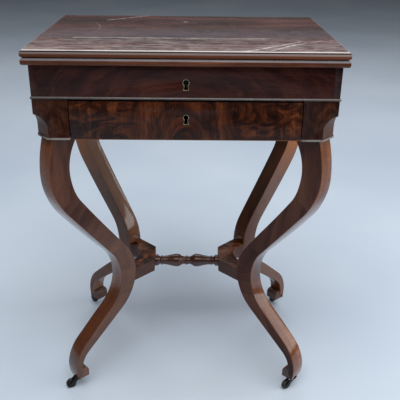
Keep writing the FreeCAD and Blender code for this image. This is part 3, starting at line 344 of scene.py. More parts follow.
def leg_grain(turns, shifted):
    """Where the veneer lies: metres along and across the grain. On a side each length has straight
    grain, turned from the line between its ends; on an edge the grain follows the leg's own length."""
    flat_points = flat.reshape(-1, 2)[leg_quads]
    place = np.zeros((len(leg_quads), 4, 2))
    for number, (start, angle) in enumerate(zip(veneer_rows, turns)):
        stop = (veneer_rows + [rows - 1])[number + 1]
        line = math.atan2(*(middle[stop] - middle[start])[::-1]) + math.radians(angle)
        along, across = (math.cos(line), math.sin(line)), (-math.sin(line), math.cos(line))
        chosen = on_side & (quad_row >= start) & (quad_row < stop)
        offset = np.array([0.7 * number + shifted, 0.31 * number])
        place[chosen] = np.stack([flat_points[chosen] @ along, flat_points[chosen] @ across], -1) + offset
    ring = np.stack([np.repeat(length, columns), np.tile(level, rows)], 1)
    strip = ring[leg_quads[~on_side]]
    strip[quad_column[~on_side] == columns - 1] += (0, 0.4)
    place[~on_side] = strip + (shifted, 0)
    return place


def leg_veneer(name, tones, rippled, roughness):
    """Mahogany laid by the leg's own grain. A rippled one has fine bands across its run as well, where
    the grain rose and fell when it was cut, and its polish is fullest under the knee and thinner at the top.
    Painted light makes the back legs' flats, the lower part of the front left flat and the back left edge
    paler, and the front legs' edges lighter and oranger above the knee. Painted shade darkens the back
    right edge above the waist and the front left edge near its foot."""
    finish = Finish(name, Specular_IOR_Level=0.30 if rippled else 0.18, Coat_Weight=0.03, Coat_Roughness=0.1)
    run, side, _ = finish.laid.parts()
    x, y, height = finish.place.parts()
    left, right, at_back = x.eased(-0.02, -0.10), x.eased(0.02, 0.10), y.eased(0.02, 0.10)
    if rippled:
        fullest = height.eased(0.468, 0.436) * (height.eased(0.24, 0.32) * 0.35 + 0.62)
        finish.feed(Coat_Weight=fullest + 0.03)
        ripple = run.noise(run * 330.0 + side * 40.0, side * 22.0, 4.0, 2.0, 0.5)
        figure = ripple * 0.5 + run.noise(run * 7.0, side * 45.0, 2.0, 2.0) * 0.6 - 0.05
        # Painted light: the back left leg's edges are painted pale grey, and the front legs' edges paler
        # orange above the knee. Painted shade darkens the back right edge above the waist and the front left
        # edge near its foot.
        painted_light = left * at_back
        painted_shade = (right * at_back * height.eased(0.20, 0.24) * 0.65
                + left * (1 - at_back) * height.eased(0.24, 0.18) * height.eased(0.03, 0.07) * 0.4)
        painted_upper_light = height.eased(0.43, 0.50) * (1 - at_back)
        tint = painted_light.mixed((0.33, 0.115, 0.034), (0.330, 0.205, 0.155))
        tint = painted_shade.eased(0.0, 0.1).mixed(tint, (0.040, 0.0130, 0.0085))
        overlay = (painted_light * 0.62 + painted_upper_light * 0.24 + painted_shade, tint)
    else:
        figure = None
        # Painted light: the back legs' flats and the lower part of the front left flat are painted paler,
        # pinkish grey low down and orange higher up, broken into streaks by this noise.
        wear_and_sheen = run.noise(run * 260.0, side * 14.0, 3.0, 3.0, 0.6) * 0.5 + 0.36
        painted_light = (right + left * 0.8) * at_back + left * (1 - at_back) * height.eased(0.42, 0.30) * 0.55
        overlay = (painted_light * wear_and_sheen, height.eased(0.36, 0.50).mixed((0.250, 0.155, 0.125), (0.580, 0.200, 0.060)))
    return mahogany(finish, run, side, 0.0, tones, 34.0, figure, overlay, roughness)


side_tones = ((0.028, 0.0080, 0.0045), (0.060, 0.0190, 0.0108),
              (0.098, 0.0340, 0.0195), (0.150, 0.058, 0.033))
edge_tones = ((0.042, 0.0098, 0.0040), (0.105, 0.0265, 0.0088),
              (0.190, 0.056, 0.0170), (0.300, 0.108, 0.038))
leg_finishes = [leg_veneer("leg side veneer", side_tones, False, 0.34),
                leg_veneer("leg edge veneer", edge_tones, True, 0.22)]
for number, (corner, turns) in enumerate(veneer_turns.items()):
    across = 1 if corner.endswith("right") else -1
    deep = 1 if corner.startswith("back") else -1
    x = leg_corner[0] + flat[:, :, 0] * math.cos(leg_angle) - level * math.sin(leg_angle)
    y = leg_corner[1] + flat[:, :, 0] * math.sin(leg_angle) + level * math.cos(leg_angle)
    points = np.stack([across * x, deep * y, flat[:, :, 1]], -1).reshape(-1, 3)
    cap_place = np.stack([flat[[0, -1]][:, :, 0], np.tile(level, (2, 1))], -1)
    cap_place[1] = cap_place[1, ::-1]
    laid = np.concatenate([leg_grain(turns, 3.0 * number).reshape(-1, 2), cap_place.reshape(-1, 2)])
    build(f"leg_veneered_{corner}", points, [leg_quads, leg_caps], "frame", leg_finishes,
          [f"leg_{corner}"], np.concatenate([~on_side, [False, False]]).astype(np.int32), laid)

# ---------------------------------------------------------------- Corner blocks
# Solid mahogany blocks veneered upright stand on the legs and close the drawer's opening. Each has its
# outer corner cut back over the leg, with a scooped upper end, and a small foot bead glued round it.


def eased_copy(node, body, material, width=0.0005, cuts=(), reshape=None):
    """A CAD part with its own shape and hard edges eased: its triangles are merged, flat faces joined,
    and each edge sharper than 35 degrees is rounded in two steps over this width. Level cuts may be made
    through it first, and its points, as one array, may be moved by a function of their places."""
    joined = bmesh.new()
    joined.from_mesh(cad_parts[node].data)
    bmesh.ops.remove_doubles(joined, verts=joined.verts, dist=2e-6)
    bmesh.ops.dissolve_limit(joined, angle_limit=math.radians(0.2), verts=joined.verts, edges=joined.edges)
    for level in cuts:
        everything = [*joined.verts, *joined.edges, *joined.faces]
        bmesh.ops.bisect_plane(joined, geom=everything, dist=1e-7, plane_co=(0, 0, level), plane_no=(0, 0, 1))
    mesh = bpy.data.meshes.new(node + "_eased")
    joined.to_mesh(mesh)
    joined.free()
    if reshape:
        points = np.empty(len(mesh.vertices) * 3, np.float32)
        mesh.vertices.foreach_get("co", points)
        mesh.vertices.foreach_set("co", np.ravel(reshape(points.reshape(-1, 3).astype(float))))
    mesh.materials.clear()
    mesh.materials.append(material)
    mesh.shade_smooth()
    piece = bpy.data.objects.new(node + "_eased", mesh)
    bpy.context.scene.collection.objects.link(piece)
    bevel = piece.modifiers.new("eased edges", "BEVEL")
    bevel.width = width
    bevel.segments = 2
    bevel.limit_method = "ANGLE"
    bevel.angle_limit = math.radians(35)
    bevel.harden_normals = True
    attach(piece, body)
    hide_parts(node)
    return piece


# The height at which the CAD's cut ends, and the hollow's height at the corner, its depth and its fall
drawn_stop, scoop_stop, scoop_depth, scoop_drop = 0.6250, 0.6236, 0.017, 0.0206


def outward(x, y):
    """How far out of the cut's flat a place lies, along the leg's own line."""
    return (abs(x) - leg_corner[0]) * math.cos(leg_angle) + (abs(y) - leg_corner[1]) * math.sin(leg_angle)


def scoop(out):
    """The height of the cut's hollow upper end. It falls from the corner to the flat, by 0.35 of the
    share gone and 0.65 of the share's cube."""
    gone = (scoop_depth - out) / scoop_depth
    return scoop_stop - (gone * 0.35 + gone * gone * gone * 0.65) * scoop_drop


def scooped(points):
    """The block with the end of its corner cut moved to the hollow."""
    out = outward(points[:, 0], points[:, 1])
    slack = 1e-4
    on_cut = np.abs(points[:, 2] - drawn_stop + scoop_depth / 2) < scoop_depth / 2 + slack
    on_cut &= out > -slack
    points[:, 2] = np.where(on_cut, scoop(np.clip(out, 0, scoop_depth)), points[:, 2])
    return points


block_finish = Finish("corner block veneer", Specular_IOR_Level=0.16, Coat_Weight=0.03, Coat_Roughness=0.16)
x, y, z = block_finish.place.parts()
block_tones = ((0.012, 0.0040, 0.0030), (0.028, 0.0085, 0.0052),
               (0.056, 0.018, 0.0090), (0.105, 0.038, 0.018))
block_figure = x.noise(x * 34.0 + y * 30.0, z * 26.0, y * 12.0, 4.0, 0.6, 1.6)
out = outward(x, y)
# Painted reflection: the corner cut's flat is painted paler brown, and the foot bead below the block pale
# grey in noisy patches, as light from the pale floor on faces that look down.
cut_flat = out.eased(-0.0006, -0.0002) * (z - scoop(out)).eased(0.0008, 0.0003) * z.eased(0.5810, 0.5816)
rubbed_and_sheen = z.eased(0.5812, 0.5802) * 0.8 * x.noise(x * 60.0, y * 60.0, z * 60.0, 3.0).eased(0.2, 0.5)
block_pale = cut_flat.mixed((0.34, 0.31, 0.30), (0.150, 0.080, 0.058))
block_veneer = mahogany(block_finish, z, x, y, block_tones, ribbon=55.0, figure=block_figure * 1.3 - 0.18,
                        overlay=(rubbed_and_sheen + cut_flat * 0.55, block_pale), roughness=0.27)
for corner in veneer_turns:
    eased_copy(f"corner_block_{corner}", "frame", block_veneer, 0.0004, reshape=scooped)

# ---------------------------------------------------------------- Upper frieze
# Four boards round the well, rebated together at the corners. The front one is faced with a crotch
# veneer, whose grain fans up and out from the middle of its lower edge.

frieze_finish = Finish("frieze crotch veneer", Specular_IOR_Level=0.16, Coat_Weight=0.02,
                       Coat_Roughness=0.14)
x, y, z = frieze_finish.place.parts()
frieze_tones = ((0.014, 0.0035, 0.0028), (0.028, 0.0066, 0.0048),
                (0.050, 0.0125, 0.0080), (0.090, 0.026, 0.015))
wander = x.noise(x * 9.0, z * 16.0, 0.0, 3.0)
above_foot = z - 0.640
arch = x.math("SQRT", x * x * 34.0 + above_foot * above_foot * 120.0) + wander * 0.5
fan = x.noise(arch * 8.0 + 3.0, x * 9.0, z * 14.0, 4.0, 0.65, 0.5)
frieze_veneer = mahogany(frieze_finish, x, z, y, frieze_tones, ribbon=26.0, figure=fan * 1.35 - 0.19,
                         roughness=0.26)
eased_copy("frieze_front", "frame", frieze_veneer)

board_tones = ((0.014, 0.004, 0.003), (0.029, 0.0075, 0.0055),
               (0.050, 0.015, 0.0095), (0.088, 0.030, 0.017))
side_finish = Finish("side board mahogany", Specular_IOR_Level=0.25, Coat_Weight=0.06, Coat_Roughness=0.16)
x, y, z = side_finish.place.parts()
faced = y.eased(-0.1850, -0.1860)
side_board = mahogany(side_finish, y + faced * (x - y), z, x + faced * (y - x), board_tones, ribbon=34.0,
                      roughness=0.28)
back_finish = Finish("back board mahogany", Specular_IOR_Level=0.4, Coat_Weight=0.1, Coat_Roughness=0.25)
x, y, z = back_finish.place.parts()
back_board = mahogany(back_finish, x, z, y, board_tones, ribbon=34.0, roughness=0.38)
eased_copy("frieze_left", "frame", side_board)
eased_copy("frieze_right", "frame", side_board)
eased_copy("frieze_back", "frame", back_board)

# ---------------------------------------------------------------- Lower panels and bead
# Plain panels close the drawer's space at the sides and back. A thin half-round bead, mitred at its
# corners, is let in all round between them and the upper frieze, and its crown is painted pale as a
# highlight.

eased_copy("side_panel_left", "frame", side_board)
eased_copy("side_panel_right", "frame", side_board)
eased_copy("back_panel", "frame", back_board)
bead_finish = Finish("worn bead", Specular_IOR_Level=0.5, Coat_Weight=0.4, Coat_Roughness=0.15)
x, y, z = bead_finish.place.parts()
bead_tones = ((0.014, 0.0060, 0.0048), (0.026, 0.0110, 0.0085),
              (0.044, 0.020, 0.015), (0.070, 0.034, 0.026))
# Painted highlight: the bead's crown is painted pale grey, broken up by noise.
crown = z.eased(0.6524, 0.6530) * (x.noise(x * 30.0, y * 30.0, 4.0, 3.0) * 0.7 + 0.3)
bead_wood = mahogany(bead_finish, x + y, z, x - y, bead_tones, ribbon=90.0,
                     overlay=(crown, (0.20, 0.175, 0.17)), roughness=0.24)
eased_copy("bead_rails", "frame", bead_wood, 0.0002)

# ---------------------------------------------------------------- Drawer
# The front is flush in its opening, with a dark gap round it, and faced with the boldest crotch veneer
# in flames and curls. Its sides, back and bottom are thin oak, dovetailed and grooved together.

drawer_finish = Finish("drawer flame veneer", Specular_IOR_Level=0.16, Coat_Weight=0.03, Coat_Roughness=0.14)
x, y, z = drawer_finish.place.parts()
drawer_tones = ((0.010, 0.0030, 0.0022), (0.026, 0.0070, 0.0038),
                (0.068, 0.0175, 0.0065), (0.150, 0.042, 0.014))
away = z - 0.563
bent = x + x.noise(x * 14.0, z * 20.0, 1.0, 3.0) * 0.035 - 0.0175
ring = x.math("SQRT", bent * bent + away * away * 0.36)
flame = x.noise(ring * 46.0, away * 11.0, bent * 5.0, 4.0, 0.62, 0.9)
curls = x.noise(x * 20.0, z * 34.0, 9.0, 4.0, 0.62, 2.4)
outer_part = abs(bent).eased(0.060, 0.120)
figure = flame + outer_part * (curls - flame)
drawer_veneer = mahogany(drawer_finish, z, x, y, drawer_tones, ribbon=40.0, figure=figure * 1.9 - 0.45,
                         overlay=(z.eased(0.5794, 0.5787) * 0.8, (0.26, 0.10, 0.04)), roughness=0.26)

# The CAD front's half width and top, and how far they are drawn in
front_half, front_top = 0.2035, 0.6480
end_shrink, top_shrink = 0.0009, 0.0007


def shrunk(points):
    """The front's ends and top drawn in, as far as old wood shrinks in its opening."""
    near = 0.0005
    end = np.abs(points[:, 0]) > front_half - near
    points[:, 0] = np.where(end, np.sign(points[:, 0]) * (front_half - end_shrink), points[:, 0])
    points[:, 2] = np.where(points[:, 2] > front_top - near, points[:, 2] - top_shrink, points[:, 2])
    return points


eased_copy("drawer_front", "drawer", drawer_veneer, reshape=shrunk)

oak_tones = ((0.20, 0.125, 0.065), (0.29, 0.19, 0.105), (0.37, 0.255, 0.15), (0.45, 0.325, 0.20))


def plain_oak(name, run_axis):
    """Bare sawn oak, its grain along one of the object's axes, greyed and dull."""
    finish = Finish(name, Specular_IOR_Level=0.35)
    axes = finish.place.parts()
    run = axes.pop(run_axis)
    return mahogany(finish, run, axes[0], axes[1], oak_tones, ribbon=60.0, roughness=0.62)


oak_along_x = plain_oak("bare oak along the width", 0)
oak_along_y = plain_oak("bare oak along the depth", 1)
for node in ("drawer_side_left", "drawer_side_right"):
    eased_copy(node, "drawer", oak_along_y)
for node in ("drawer_back", "drawer_bottom"):
    eased_copy(node, "drawer", oak_along_x)
for node in ("drawer_runner_left", "drawer_runner_right"):
    eased_copy(node, "frame", oak_along_y)

# ---------------------------------------------------------------- Well floor, batten and dowels
# A thin oak board is the well's floor. A stout batten crosses the well from front to back to carry
# the top's pivot, and turned dowels pin the legs, heels and waist blocks.

eased_copy("well_floor", "frame", oak_along_x)
eased_copy("pivot_batten", "frame", oak_along_y)


def dress(material, *nodes):
    """A CAD part that keeps its own mesh gets this material."""
    for node in nodes:
        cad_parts[node].material_slots[0].material = material


dress(oak_along_y, "dowels")

# ---------------------------------------------------------------- Lower leaf
# One mahogany board with rounded edges, turned on the pivot over the well. Its upper face is let in
# for a writing lining, and only its edge shows when the desk is shut.

leaf_finish = Finish("leaf mahogany", Specular_IOR_Level=0.2, Coat_Weight=0.0, Coat_Roughness=0.18)
x, y, z = leaf_finish.place.parts()
leaf_tones = ((0.036, 0.0095, 0.0040), (0.078, 0.0210, 0.0085),
              (0.130, 0.038, 0.0150), (0.190, 0.066, 0.028))


def rim(x, y):
    """1 where a leaf's edge is rounded, 0 on its flat faces."""
    near = abs(x).eased(0.2698, 0.2710) + abs(y).eased(0.1913, 0.1925)
    return near.node("Clamp", {"Value": near})


# Painted highlight: the upper rounding of the leaf's edge is painted pale bluish grey, broken up by noise.
rubbed_and_sheen = z.eased(0.7176, 0.7190) * rim(x, y) * (x.noise(x * 40.0, y * 40.0, z * 90.0, 3.0) * 0.5 + 0.45)
leaf_wood = mahogany(leaf_finish, x, y, z, leaf_tones, ribbon=18.0, overlay=(rubbed_and_sheen, (0.26, 0.26, 0.29)),
                     roughness=0.25)
eased_copy("lower_leaf", "top", leaf_wood, 0.0003)

# ---------------------------------------------------------------- Upper leaf
# Two boards of plain mahogany edge to edge, hinged to the lower leaf along the back. Towards the front it is
# painted paler grey in smears and streaks, a painted reflection; the joint shows as a line, and things
# dragged across have scratched it. Painted highlights run along its arrises, and painted shade fills the
# groove below its top bead.

top_finish = Finish("bloomed top", Specular_IOR_Level=0.13, Coat_Weight=0.0, Coat_Roughness=0.15)
x, y, z = top_finish.place.parts()
top_tones = ((0.014, 0.0038, 0.0030), (0.035, 0.0094, 0.0068),
             (0.069, 0.0200, 0.0138), (0.116, 0.040, 0.028))


def near_line(start, end, width):
    """1 on the line between two places on the top, in metres, falling to 0 at this distance from it. A
    place's share along the line, kept from 0 to 1, gives the nearest point of the line."""
    dx, dy = end[0] - start[0], end[1] - start[1]
    share = ((x - start[0]) * dx + (y - start[1]) * dy) / (dx * dx + dy * dy)
    share = share.node("Clamp", {"Value": share})
    off_x, off_y = x - start[0] - share * dx, y - start[1] - share * dy
    return share.math("SQRT", off_x * off_x + off_y * off_y).eased(width, 0.0)


broken = x.noise(x * 60.0, y * 60.0, 0.0, 3.0).eased(0.34, 0.62)
scratches = (near_line((-0.1688, 0.1279), (-0.0844, 0.1958), 0.0046)
             + near_line((0.0973, -0.1937), (0.2027, -0.1007), 0.0046)
             + near_line((0.1736, -0.1434), (0.2444, -0.0891), 0.0040)
             + near_line((0.1400, -0.1840), (0.1900, -0.1300), 0.0030)
             + near_line((-0.0060, 0.1115), (-0.0030, 0.1140), 0.0060)) * (broken * 0.45 + 0.2)
curve = x.math("SQRT", (x + 0.33) * (x + 0.33) + (y - 0.02) * (y - 0.02))
ring_mark = abs(curve - 0.158).eased(0.003, 0.0) * x.eased(-0.215, -0.19) * broken * 0.3
joint = near_line((-0.205, -0.074), (0.150, -0.074), 0.0040) * (broken * 0.35 + 0.35)
streaks = x.noise(x * 9.0, y * 85.0, 2.0, 4.0, 0.7, 0.6)
mottle = x.noise(x * 26.0, y * 34.0, 6.0, 4.0, 0.7, 0.9)
smears = x.noise(x * 30.0 + y * 20.0, y * 120.0, 4.0, 3.0, 0.7)
# Painted reflection: the top is painted paler grey towards the front, broken up by real smears, streaks and
# mottle, and fainter behind the joint.
towards_front = y.eased(0.03, -0.19)
patchy = streaks.eased(0.42, 0.58) * 0.55 + mottle.eased(0.44, 0.60) * 0.5 + smears.eased(0.46, 0.62) * 0.5
behind_joint = y.eased(-0.074, -0.068) * y.eased(0.06, -0.02)
pale_mask = (towards_front * 0.50 + 0.05) * patchy * (1 - behind_joint * 0.45) + behind_joint * mottle * 0.35
hairs = x.noise(x * 34.0 + y * 30.0, y * 420.0 - x * 150.0, 8.0, 1.0).eased(0.66, 0.74) * 0.16
specks = x.noise(x * 420.0, y * 420.0, 2.0, 1.0).eased(0.70, 0.76) * 0.3
# Painted highlight: a pale strip along the top's front arris, and fainter ones along its ends and back.
front_strip = y.eased(-0.1865, -0.1905)
other_strips = abs(x).eased(0.2700, 0.2725) * 0.6 + y.eased(0.1915, 0.1935) * 0.3
on_top = z.eased(0.7343, 0.7345)
bright = (front_strip * 0.8 + joint + scratches) * on_top
marked = (pale_mask + ring_mark + hairs + specks + other_strips) * on_top + bright
# Painted shade: the groove under the top bead is painted dark. Painted highlight: the rounding just below it
# is painted pale; lower on the edge the colour is orange-brown.
quirk = z.eased(0.7322, 0.7324) * z.eased(0.7345, 0.7343) * rim(x, y)
below_quirk = z.eased(0.7324, 0.7322) * rim(x, y)
band = z.eased(0.7293, 0.7288)
marked = marked + quirk + below_quirk * 0.65
pale_mask = marked.node("Clamp", {"Value": marked})
cool = (1 - bright) * behind_joint * 0.8
bright = bright.node("Clamp", {"Value": bright})
pale = cool.mixed(bright.mixed((0.35, 0.29, 0.285), (0.66, 0.62, 0.61)), (0.165, 0.150, 0.200))
pale = quirk.mixed(below_quirk.mixed(pale, (0.36, 0.28, 0.26)), (0.016, 0.009, 0.008))
pale = band.mixed(pale, (0.200, 0.060, 0.020))
top_wood = mahogany(top_finish, x, y, z, top_tones, ribbon=16.0, overlay=(pale_mask, pale), roughness=0.24)


# The heights of the level cuts that bound the groove, the leaf's half sizes and the groove's depth
groove_cuts = (0.7323, 0.7327, 0.7340, 0.7344)
leaf_half, groove_depth = np.array([0.275, 0.1965]), 0.001


def quirked(points):
    """A groove run along the leaf's edge below its top bead: the points on its two inner cuts are drawn
    in by its depth at the sides and ends."""
    low, high = (groove_cuts[0] + groove_cuts[1]) / 2, (groove_cuts[2] + groove_cuts[3]) / 2
    inside = (points[:, 2] > low) & (points[:, 2] < high)
    points[:, :2] *= np.where(inside[:, None], 1 - groove_depth / leaf_half, 1)
    return points


eased_copy("upper_leaf", "flap", top_wood, 0.0003, groove_cuts, quirked)

# ---------------------------------------------------------------- Writing linings
# Thin dark green skiver leather laid in the recess of each leaf, with a plain border left clear.

leather = Finish("lining leather", Specular_IOR_Level=0.4, Coat_Weight=0.05, Coat_Roughness=0.4)
x, y, z = leather.place.parts()
pebbles = leather.place.node("TexVoronoi", {"Vector": leather.place, "Scale": 850.0}, feature="F1")
patches = x.noise(x * 14.0, y * 14.0, 0.0, 4.0, 0.6)
rubbed_and_sheen = x.noise(x * 60.0, y * 60.0, 3.0, 3.0)
wear = patches * 0.7 + rubbed_and_sheen * 0.3
green = wear.node("ValToRGB", {0: wear}, stops=[(0.35, (0.012, 0.030, 0.018)), (0.50, (0.022, 0.048, 0.029)),
                                                (0.66, (0.045, 0.075, 0.045))])
leather.feed(Base_Color=green, Roughness=patches * 0.25 + 0.38)
leather.relief(pebbles, 0.0002, 0.5)
eased_copy("lower_lining", "top", leather.material, 0.0002)
eased_copy("upper_lining", "flap", leather.material, 0.0002)

# ---------------------------------------------------------------- Brass
# Cast and filed brass: hinge plates and screws let flush into both leaves, the locks' cases and bolts,
# and a thread let in round each keyhole. It has gone brown, with the handled parts rubbed bright.

brass = Finish("old brass", Metallic=1.0, Specular_IOR_Level=0.5)
x, y, z = brass.place.parts()
stain = x.noise(x * 240.0, y * 240.0, z * 240.0, 4.0, 0.6)
filing = x.noise(x * 160.0, y * 2600.0, z * 2600.0, 2.0)
tarnish = stain.node("ValToRGB", {0: stain}, stops=[(0.30, (0.10, 0.062, 0.025)), (0.50, (0.27, 0.18, 0.075)),
                                                    (0.70, (0.46, 0.33, 0.15))])
brass.feed(Base_Color=tarnish, Roughness=stain * 0.25 + filing * 0.12 + 0.18)
brass.relief(filing * 0.6 + stain * 0.4, 0.0001, 0.4)
dress(brass.material, "hinge_pins", "lower_hinge_plates", "upper_hinge_plates", "lower_hinge_screws",
      "upper_hinge_screws", "drawer_lock_bolt", "well_lock_bolt")

lock_brass = Finish("blackened lock brass", Metallic=0.6, Specular_IOR_Level=0.4)
x, y, z = lock_brass.place.parts()
soot = x.noise(x * 150.0, y * 150.0, z * 150.0, 4.0, 0.6)
lock_brass.feed(Base_Color=soot.node("ValToRGB", {0: soot}, stops=[(0.40, (0.006, 0.005, 0.004)),
                                                                  (0.76, (0.050, 0.038, 0.020))]),
                Roughness=soot * 0.3 + 0.35)
lock_brass.relief(soot, 0.0002, 0.5)
dress(lock_brass.material, "drawer_lock_case", "well_lock_case")

thread = Finish("worn brass thread", Metallic=0.85, Specular_IOR_Level=0.5)
x, y, z = thread.place.parts()
wear_and_sheen = x.noise(x * 420.0, y * 420.0, z * 420.0, 3.0)
thread.feed(Base_Color=wear_and_sheen.node("ValToRGB", {0: wear_and_sheen}, stops=[(0.36, (0.16, 0.13, 0.08)),
                                                               (0.62, (0.46, 0.42, 0.30))]),
            Roughness=wear_and_sheen * 0.3 + 0.28)
thread.relief(wear_and_sheen, 0.0001, 0.4)
dress(thread.material, "drawer_keyhole_thread", "well_keyhole_thread")

# ---------------------------------------------------------------- Pivot
# The top turns on a steel plate let into the lower leaf. The plate's bolt goes down through the well's
# batten, and a flanged nut holds it below. Both are turned, and rusted here and there.

steel = Finish("bright steel", Metallic=1.0)
x, y, z = steel.place.parts()
turned = x.noise(x * 900.0, y * 900.0, z * 3200.0, 2.0)
rust = x.noise(x * 170.0, y * 170.0, z * 170.0, 4.0, 0.65).eased(0.52, 0.68)
steel.feed(Base_Color=rust.mixed((0.34, 0.33, 0.32), (0.11, 0.055, 0.03)), Metallic=1 - rust * 0.7,
           Roughness=turned * 0.16 + rust * 0.35 + 0.22)
steel.relief(turned * 0.6 + rust * 0.4, 0.0001, 0.4)
dress(steel.material, "pivot_bolt", "pivot_nut")

# ---------------------------------------------------------------- Waist blocks and stretcher
# A mahogany block, hollowed to fit the two legs' waists, ties each pair. The stretcher between them
# is turned from one rod: collars, long necks, bulbs, and a ring with beads in the middle.

waist_finish = Finish("waist block mahogany", Specular_IOR_Level=0.15, Coat_Weight=0.0, Coat_Roughness=0.18)
x, y, z = waist_finish.place.parts()
bands = x.noise(x * 26.0 + y * 9.0, y * 30.0, z * 20.0, 4.0, 0.6, 1.4)
waist_tones = ((0.012, 0.0034, 0.0020), (0.046, 0.0115, 0.0045),
               (0.135, 0.040, 0.012), (0.250, 0.090, 0.030))
cheeks = z.eased(0.2433, 0.2428)
cheek_grain = x.noise(x * 30.0 + y * 30.0, z * 150.0, 7.0, 3.0, 0.6)
waist_wood = mahogany(waist_finish, x + y * 0.5, y, z, waist_tones, ribbon=40.0, figure=bands * 2.0 - 0.5,
                      overlay=(cheeks * 0.9, cheek_grain.mixed((0.052, 0.026, 0.021), (0.120, 0.072, 0.064))),
                      roughness=0.28)
eased_copy("waist_block_left", "frame", waist_wood)
eased_copy("waist_block_right", "frame", waist_wood)

turned_finish = Finish("turned mahogany", Specular_IOR_Level=0.45, Coat_Weight=0.35, Coat_Roughness=0.16)
x, y, z = turned_finish.place.parts()
turned_tones = ((0.026, 0.0072, 0.0050), (0.054, 0.0155, 0.0098),
                (0.094, 0.030, 0.018), (0.150, 0.056, 0.036))
lathe_lines = x.noise(x * 1500.0, 0.0, 0.0, 2.0)
turned_wood = mahogany(turned_finish, x, y, z, turned_tones, ribbon=60.0, figure=lathe_lines, roughness=0.22)

# Half its turning from the middle out: metres along, and the radius there. Between two marks the radius
# goes from one to the other by half a cosine wave, and a bead stands on it as half an ellipse.
rod_height, shoulder_place, rod_end, steps = 0.225, 0.07149, 0.08949, 20
turning = [(0.0, 0.0090), (0.0036, 0.0090), (0.0038, 0.0086), (0.0058, 0.0087), (0.0205, 0.0145),
           (0.0520, 0.0098), (0.0530, 0.0088), (0.0595, 0.0086), (0.0655, 0.0122), (0.0657, 0.0127),
           (0.0713, 0.0127), (shoulder_place, 0.0122), (shoulder_place, 0.0070), (rod_end, 0.0070)]
along = [np.linspace(start, end, steps) for (start, _), (end, _) in zip(turning, turning[1:])]
radius = [first + (second - first) * (1 - np.cos(np.linspace(0, math.pi, steps))) / 2
          for (_, first), (_, second) in zip(turning, turning[1:])]
along, radius = np.concatenate(along), np.concatenate(radius)
for middle_place, half_width, proud in ((0.0, 0.0030, 0.0014), (0.0563, 0.0022, 0.0022)):
    off = (along - middle_place) / half_width
    radius = radius + proud * np.sqrt(np.maximum(0, 1 - off * off)) * (np.abs(off) < 1)
along, radius = np.concatenate([-along[::-1], along]), np.concatenate([radius[::-1], radius])
kept = np.concatenate([[True], (np.diff(along) > 1e-9) | (np.abs(np.diff(radius)) > 1e-9)])
along, radius = along[kept], radius[kept]
around = np.radians(np.arange(0, 360, 6))
points = np.stack([np.repeat(along, len(around)), np.outer(radius, np.cos(around)).ravel(),
                   rod_height + np.outer(radius, np.sin(around)).ravel()], -1)
ends = np.stack([np.arange(len(around))[::-1], np.arange(len(around)) + (len(along) - 1) * len(around)])
build("stretcher_turned", points, [grid(len(along), len(around)), ends], "frame", [turned_wood],
      ["stretcher"])

# ---------------------------------------------------------------- Heel blocks and casters
# A block glued behind each toe takes a small iron caster: a plate and pin, a forked horn that
# swivels, and a wheel on an axle, all blackened, with dust in places.

heel_finish = Finish("heel block mahogany", Specular_IOR_Level=0.45, Coat_Weight=0.15, Coat_Roughness=0.3)
x, y, z = heel_finish.place.parts()
heel_tones = ((0.030, 0.0120, 0.0080), (0.058, 0.024, 0.0155), (0.095, 0.041, 0.026), (0.150, 0.070, 0.046))
heel_wood = mahogany(heel_finish, z, x, y, heel_tones, ribbon=80.0, roughness=0.36)
eased_copy("heel_blocks", "frame", heel_wood, 0.0003)

iron = Finish("blackened iron", Specular_IOR_Level=0.5)
x, y, z = iron.place.parts()
scale = x.noise(x * 320.0, y * 320.0, z * 320.0, 4.0, 0.65)
dust = x.noise(x * 90.0, y * 90.0, z * 90.0, 3.0).eased(0.48, 0.70)
iron.feed(Base_Color=(dust * 0.3).mixed((0.020, 0.020, 0.019), (0.11, 0.095, 0.08)),
          Metallic=0.75 - dust * 0.5, Roughness=scale * 0.4 + dust * 0.2 + 0.22)
iron.relief(scale, 0.0002, 0.6)
for corner in veneer_turns:
    dress(iron.material, f"caster_horn_{corner}", f"caster_axle_{corner}", f"caster_wheel_{corner}")
dress(iron.material, "caster_plates")

# ---------------------------------------------------------------- Floor, light and camera
# A pale, slightly cool studio floor under one large soft lamp, with weaker panels behind and at the
# right, and the camera where the photograph was taken from.

floor_mesh = bpy.data.meshes.new("studio_floor")
reach = 16.0
floor_mesh.from_pydata([(-reach, -reach, 0), (reach, -reach, 0), (reach, reach, 0), (-reach, reach, 0)], [],
                       [(0, 1, 2, 3)])
floor = bpy.data.objects.new("studio_floor", floor_mesh)
bpy.context.scene.collection.objects.link(floor)
floor_finish = Finish("pale floor", Specular_IOR_Level=0.3)
x, y, z = floor_finish.place.parts()
scuffs = x.noise(x * 1.3, y * 1.3, 0.0, 3.0)
floor_finish.feed(Base_Color=scuffs.node("ValToRGB", {0: scuffs}, stops=[(0.35, (0.53, 0.62, 0.74)),
                                                                         (0.65, (0.60, 0.69, 0.80))]),
                  Roughness=scuffs * 0.2 + 0.45)
floor_mesh.materials.append(floor_finish.material)

world = bpy.data.worlds.new("studio")
bpy.context.scene.world = world
world.use_nodes = True
world.node_tree.nodes["Background"].inputs["Color"].default_value = (0.92, 0.96, 1.0, 1)
world.node_tree.nodes["Background"].inputs["Strength"].default_value = 0.07


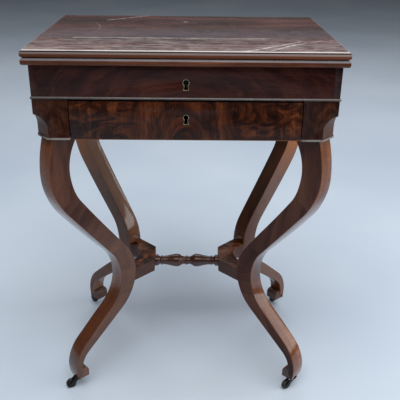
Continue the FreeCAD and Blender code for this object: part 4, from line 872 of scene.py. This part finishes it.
def soft_lamp(name, place, target, width, height, power, colour):
    """A soft lamp this wide and high in metres, turned to face its target."""
    light = bpy.data.lights.new(name, "AREA")
    light.shape = "RECTANGLE"
    light.size = width
    light.size_y = height
    light.energy = power
    light.color = colour
    lamp = bpy.data.objects.new(name, light)
    bpy.context.scene.collection.objects.link(lamp)
    backward = np.subtract(place, target) / np.linalg.norm(np.subtract(place, target))
    right = np.cross((0.0, 0.0, 1.0), backward)
    right /= np.linalg.norm(right)
    turned = np.stack([right, np.cross(backward, right), backward, place], 1)
    lamp.matrix_world = Matrix([*turned.tolist(), (0, 0, 0, 1)])


soft_lamp("large_soft_lamp", (0.1, -1.1, 3.8), (0.0, 0.0, 0.35), 3.4, 3.4, 152, (1.0, 0.99, 0.97))
soft_lamp("panel_behind", (0.0, 3.4, 2.3), (0.0, 0.0, 0.7), 5.0, 1.6, 10, (0.95, 0.96, 1.0))
soft_lamp("high_panel_behind", (0.0, 2.3, 3.3), (0.0, 0.0, 0.4), 2.6, 1.2, 24, (0.95, 0.97, 1.0))
soft_lamp("panel_right", (3.0, -0.6, 1.5), (0.0, 0.0, 0.3), 3.4, 1.8, 50, (1.0, 0.98, 0.96))

# The camera's angles, its place, and its focal length in pixels of a picture this many pixels wide
pitch, yaw, roll = (math.radians(angle) for angle in (24.80744, -0.79328, -0.69064))
camera_place, focal_pixels, picture_pixels = (0.01171, -1.22378, 0.94158), 619.68665, 400
looking = Matrix.Rotation(yaw, 3, "Z") @ Matrix.Rotation(-pitch, 3, "X") @ Matrix.Rotation(roll, 3, "Y")
camera = bpy.data.objects.new("camera", bpy.data.cameras.new("camera"))
bpy.context.scene.collection.objects.link(camera)
camera.data.sensor_width = 36.0
camera.data.lens = camera.data.sensor_width * focal_pixels / picture_pixels
level_camera = Matrix.Rotation(math.radians(90), 4, "X")
camera.matrix_world = Matrix.Translation(camera_place) @ looking.to_4x4() @ level_camera
bpy.context.scene.camera = camera
bpy.context.scene.view_settings.view_transform = "Standard"
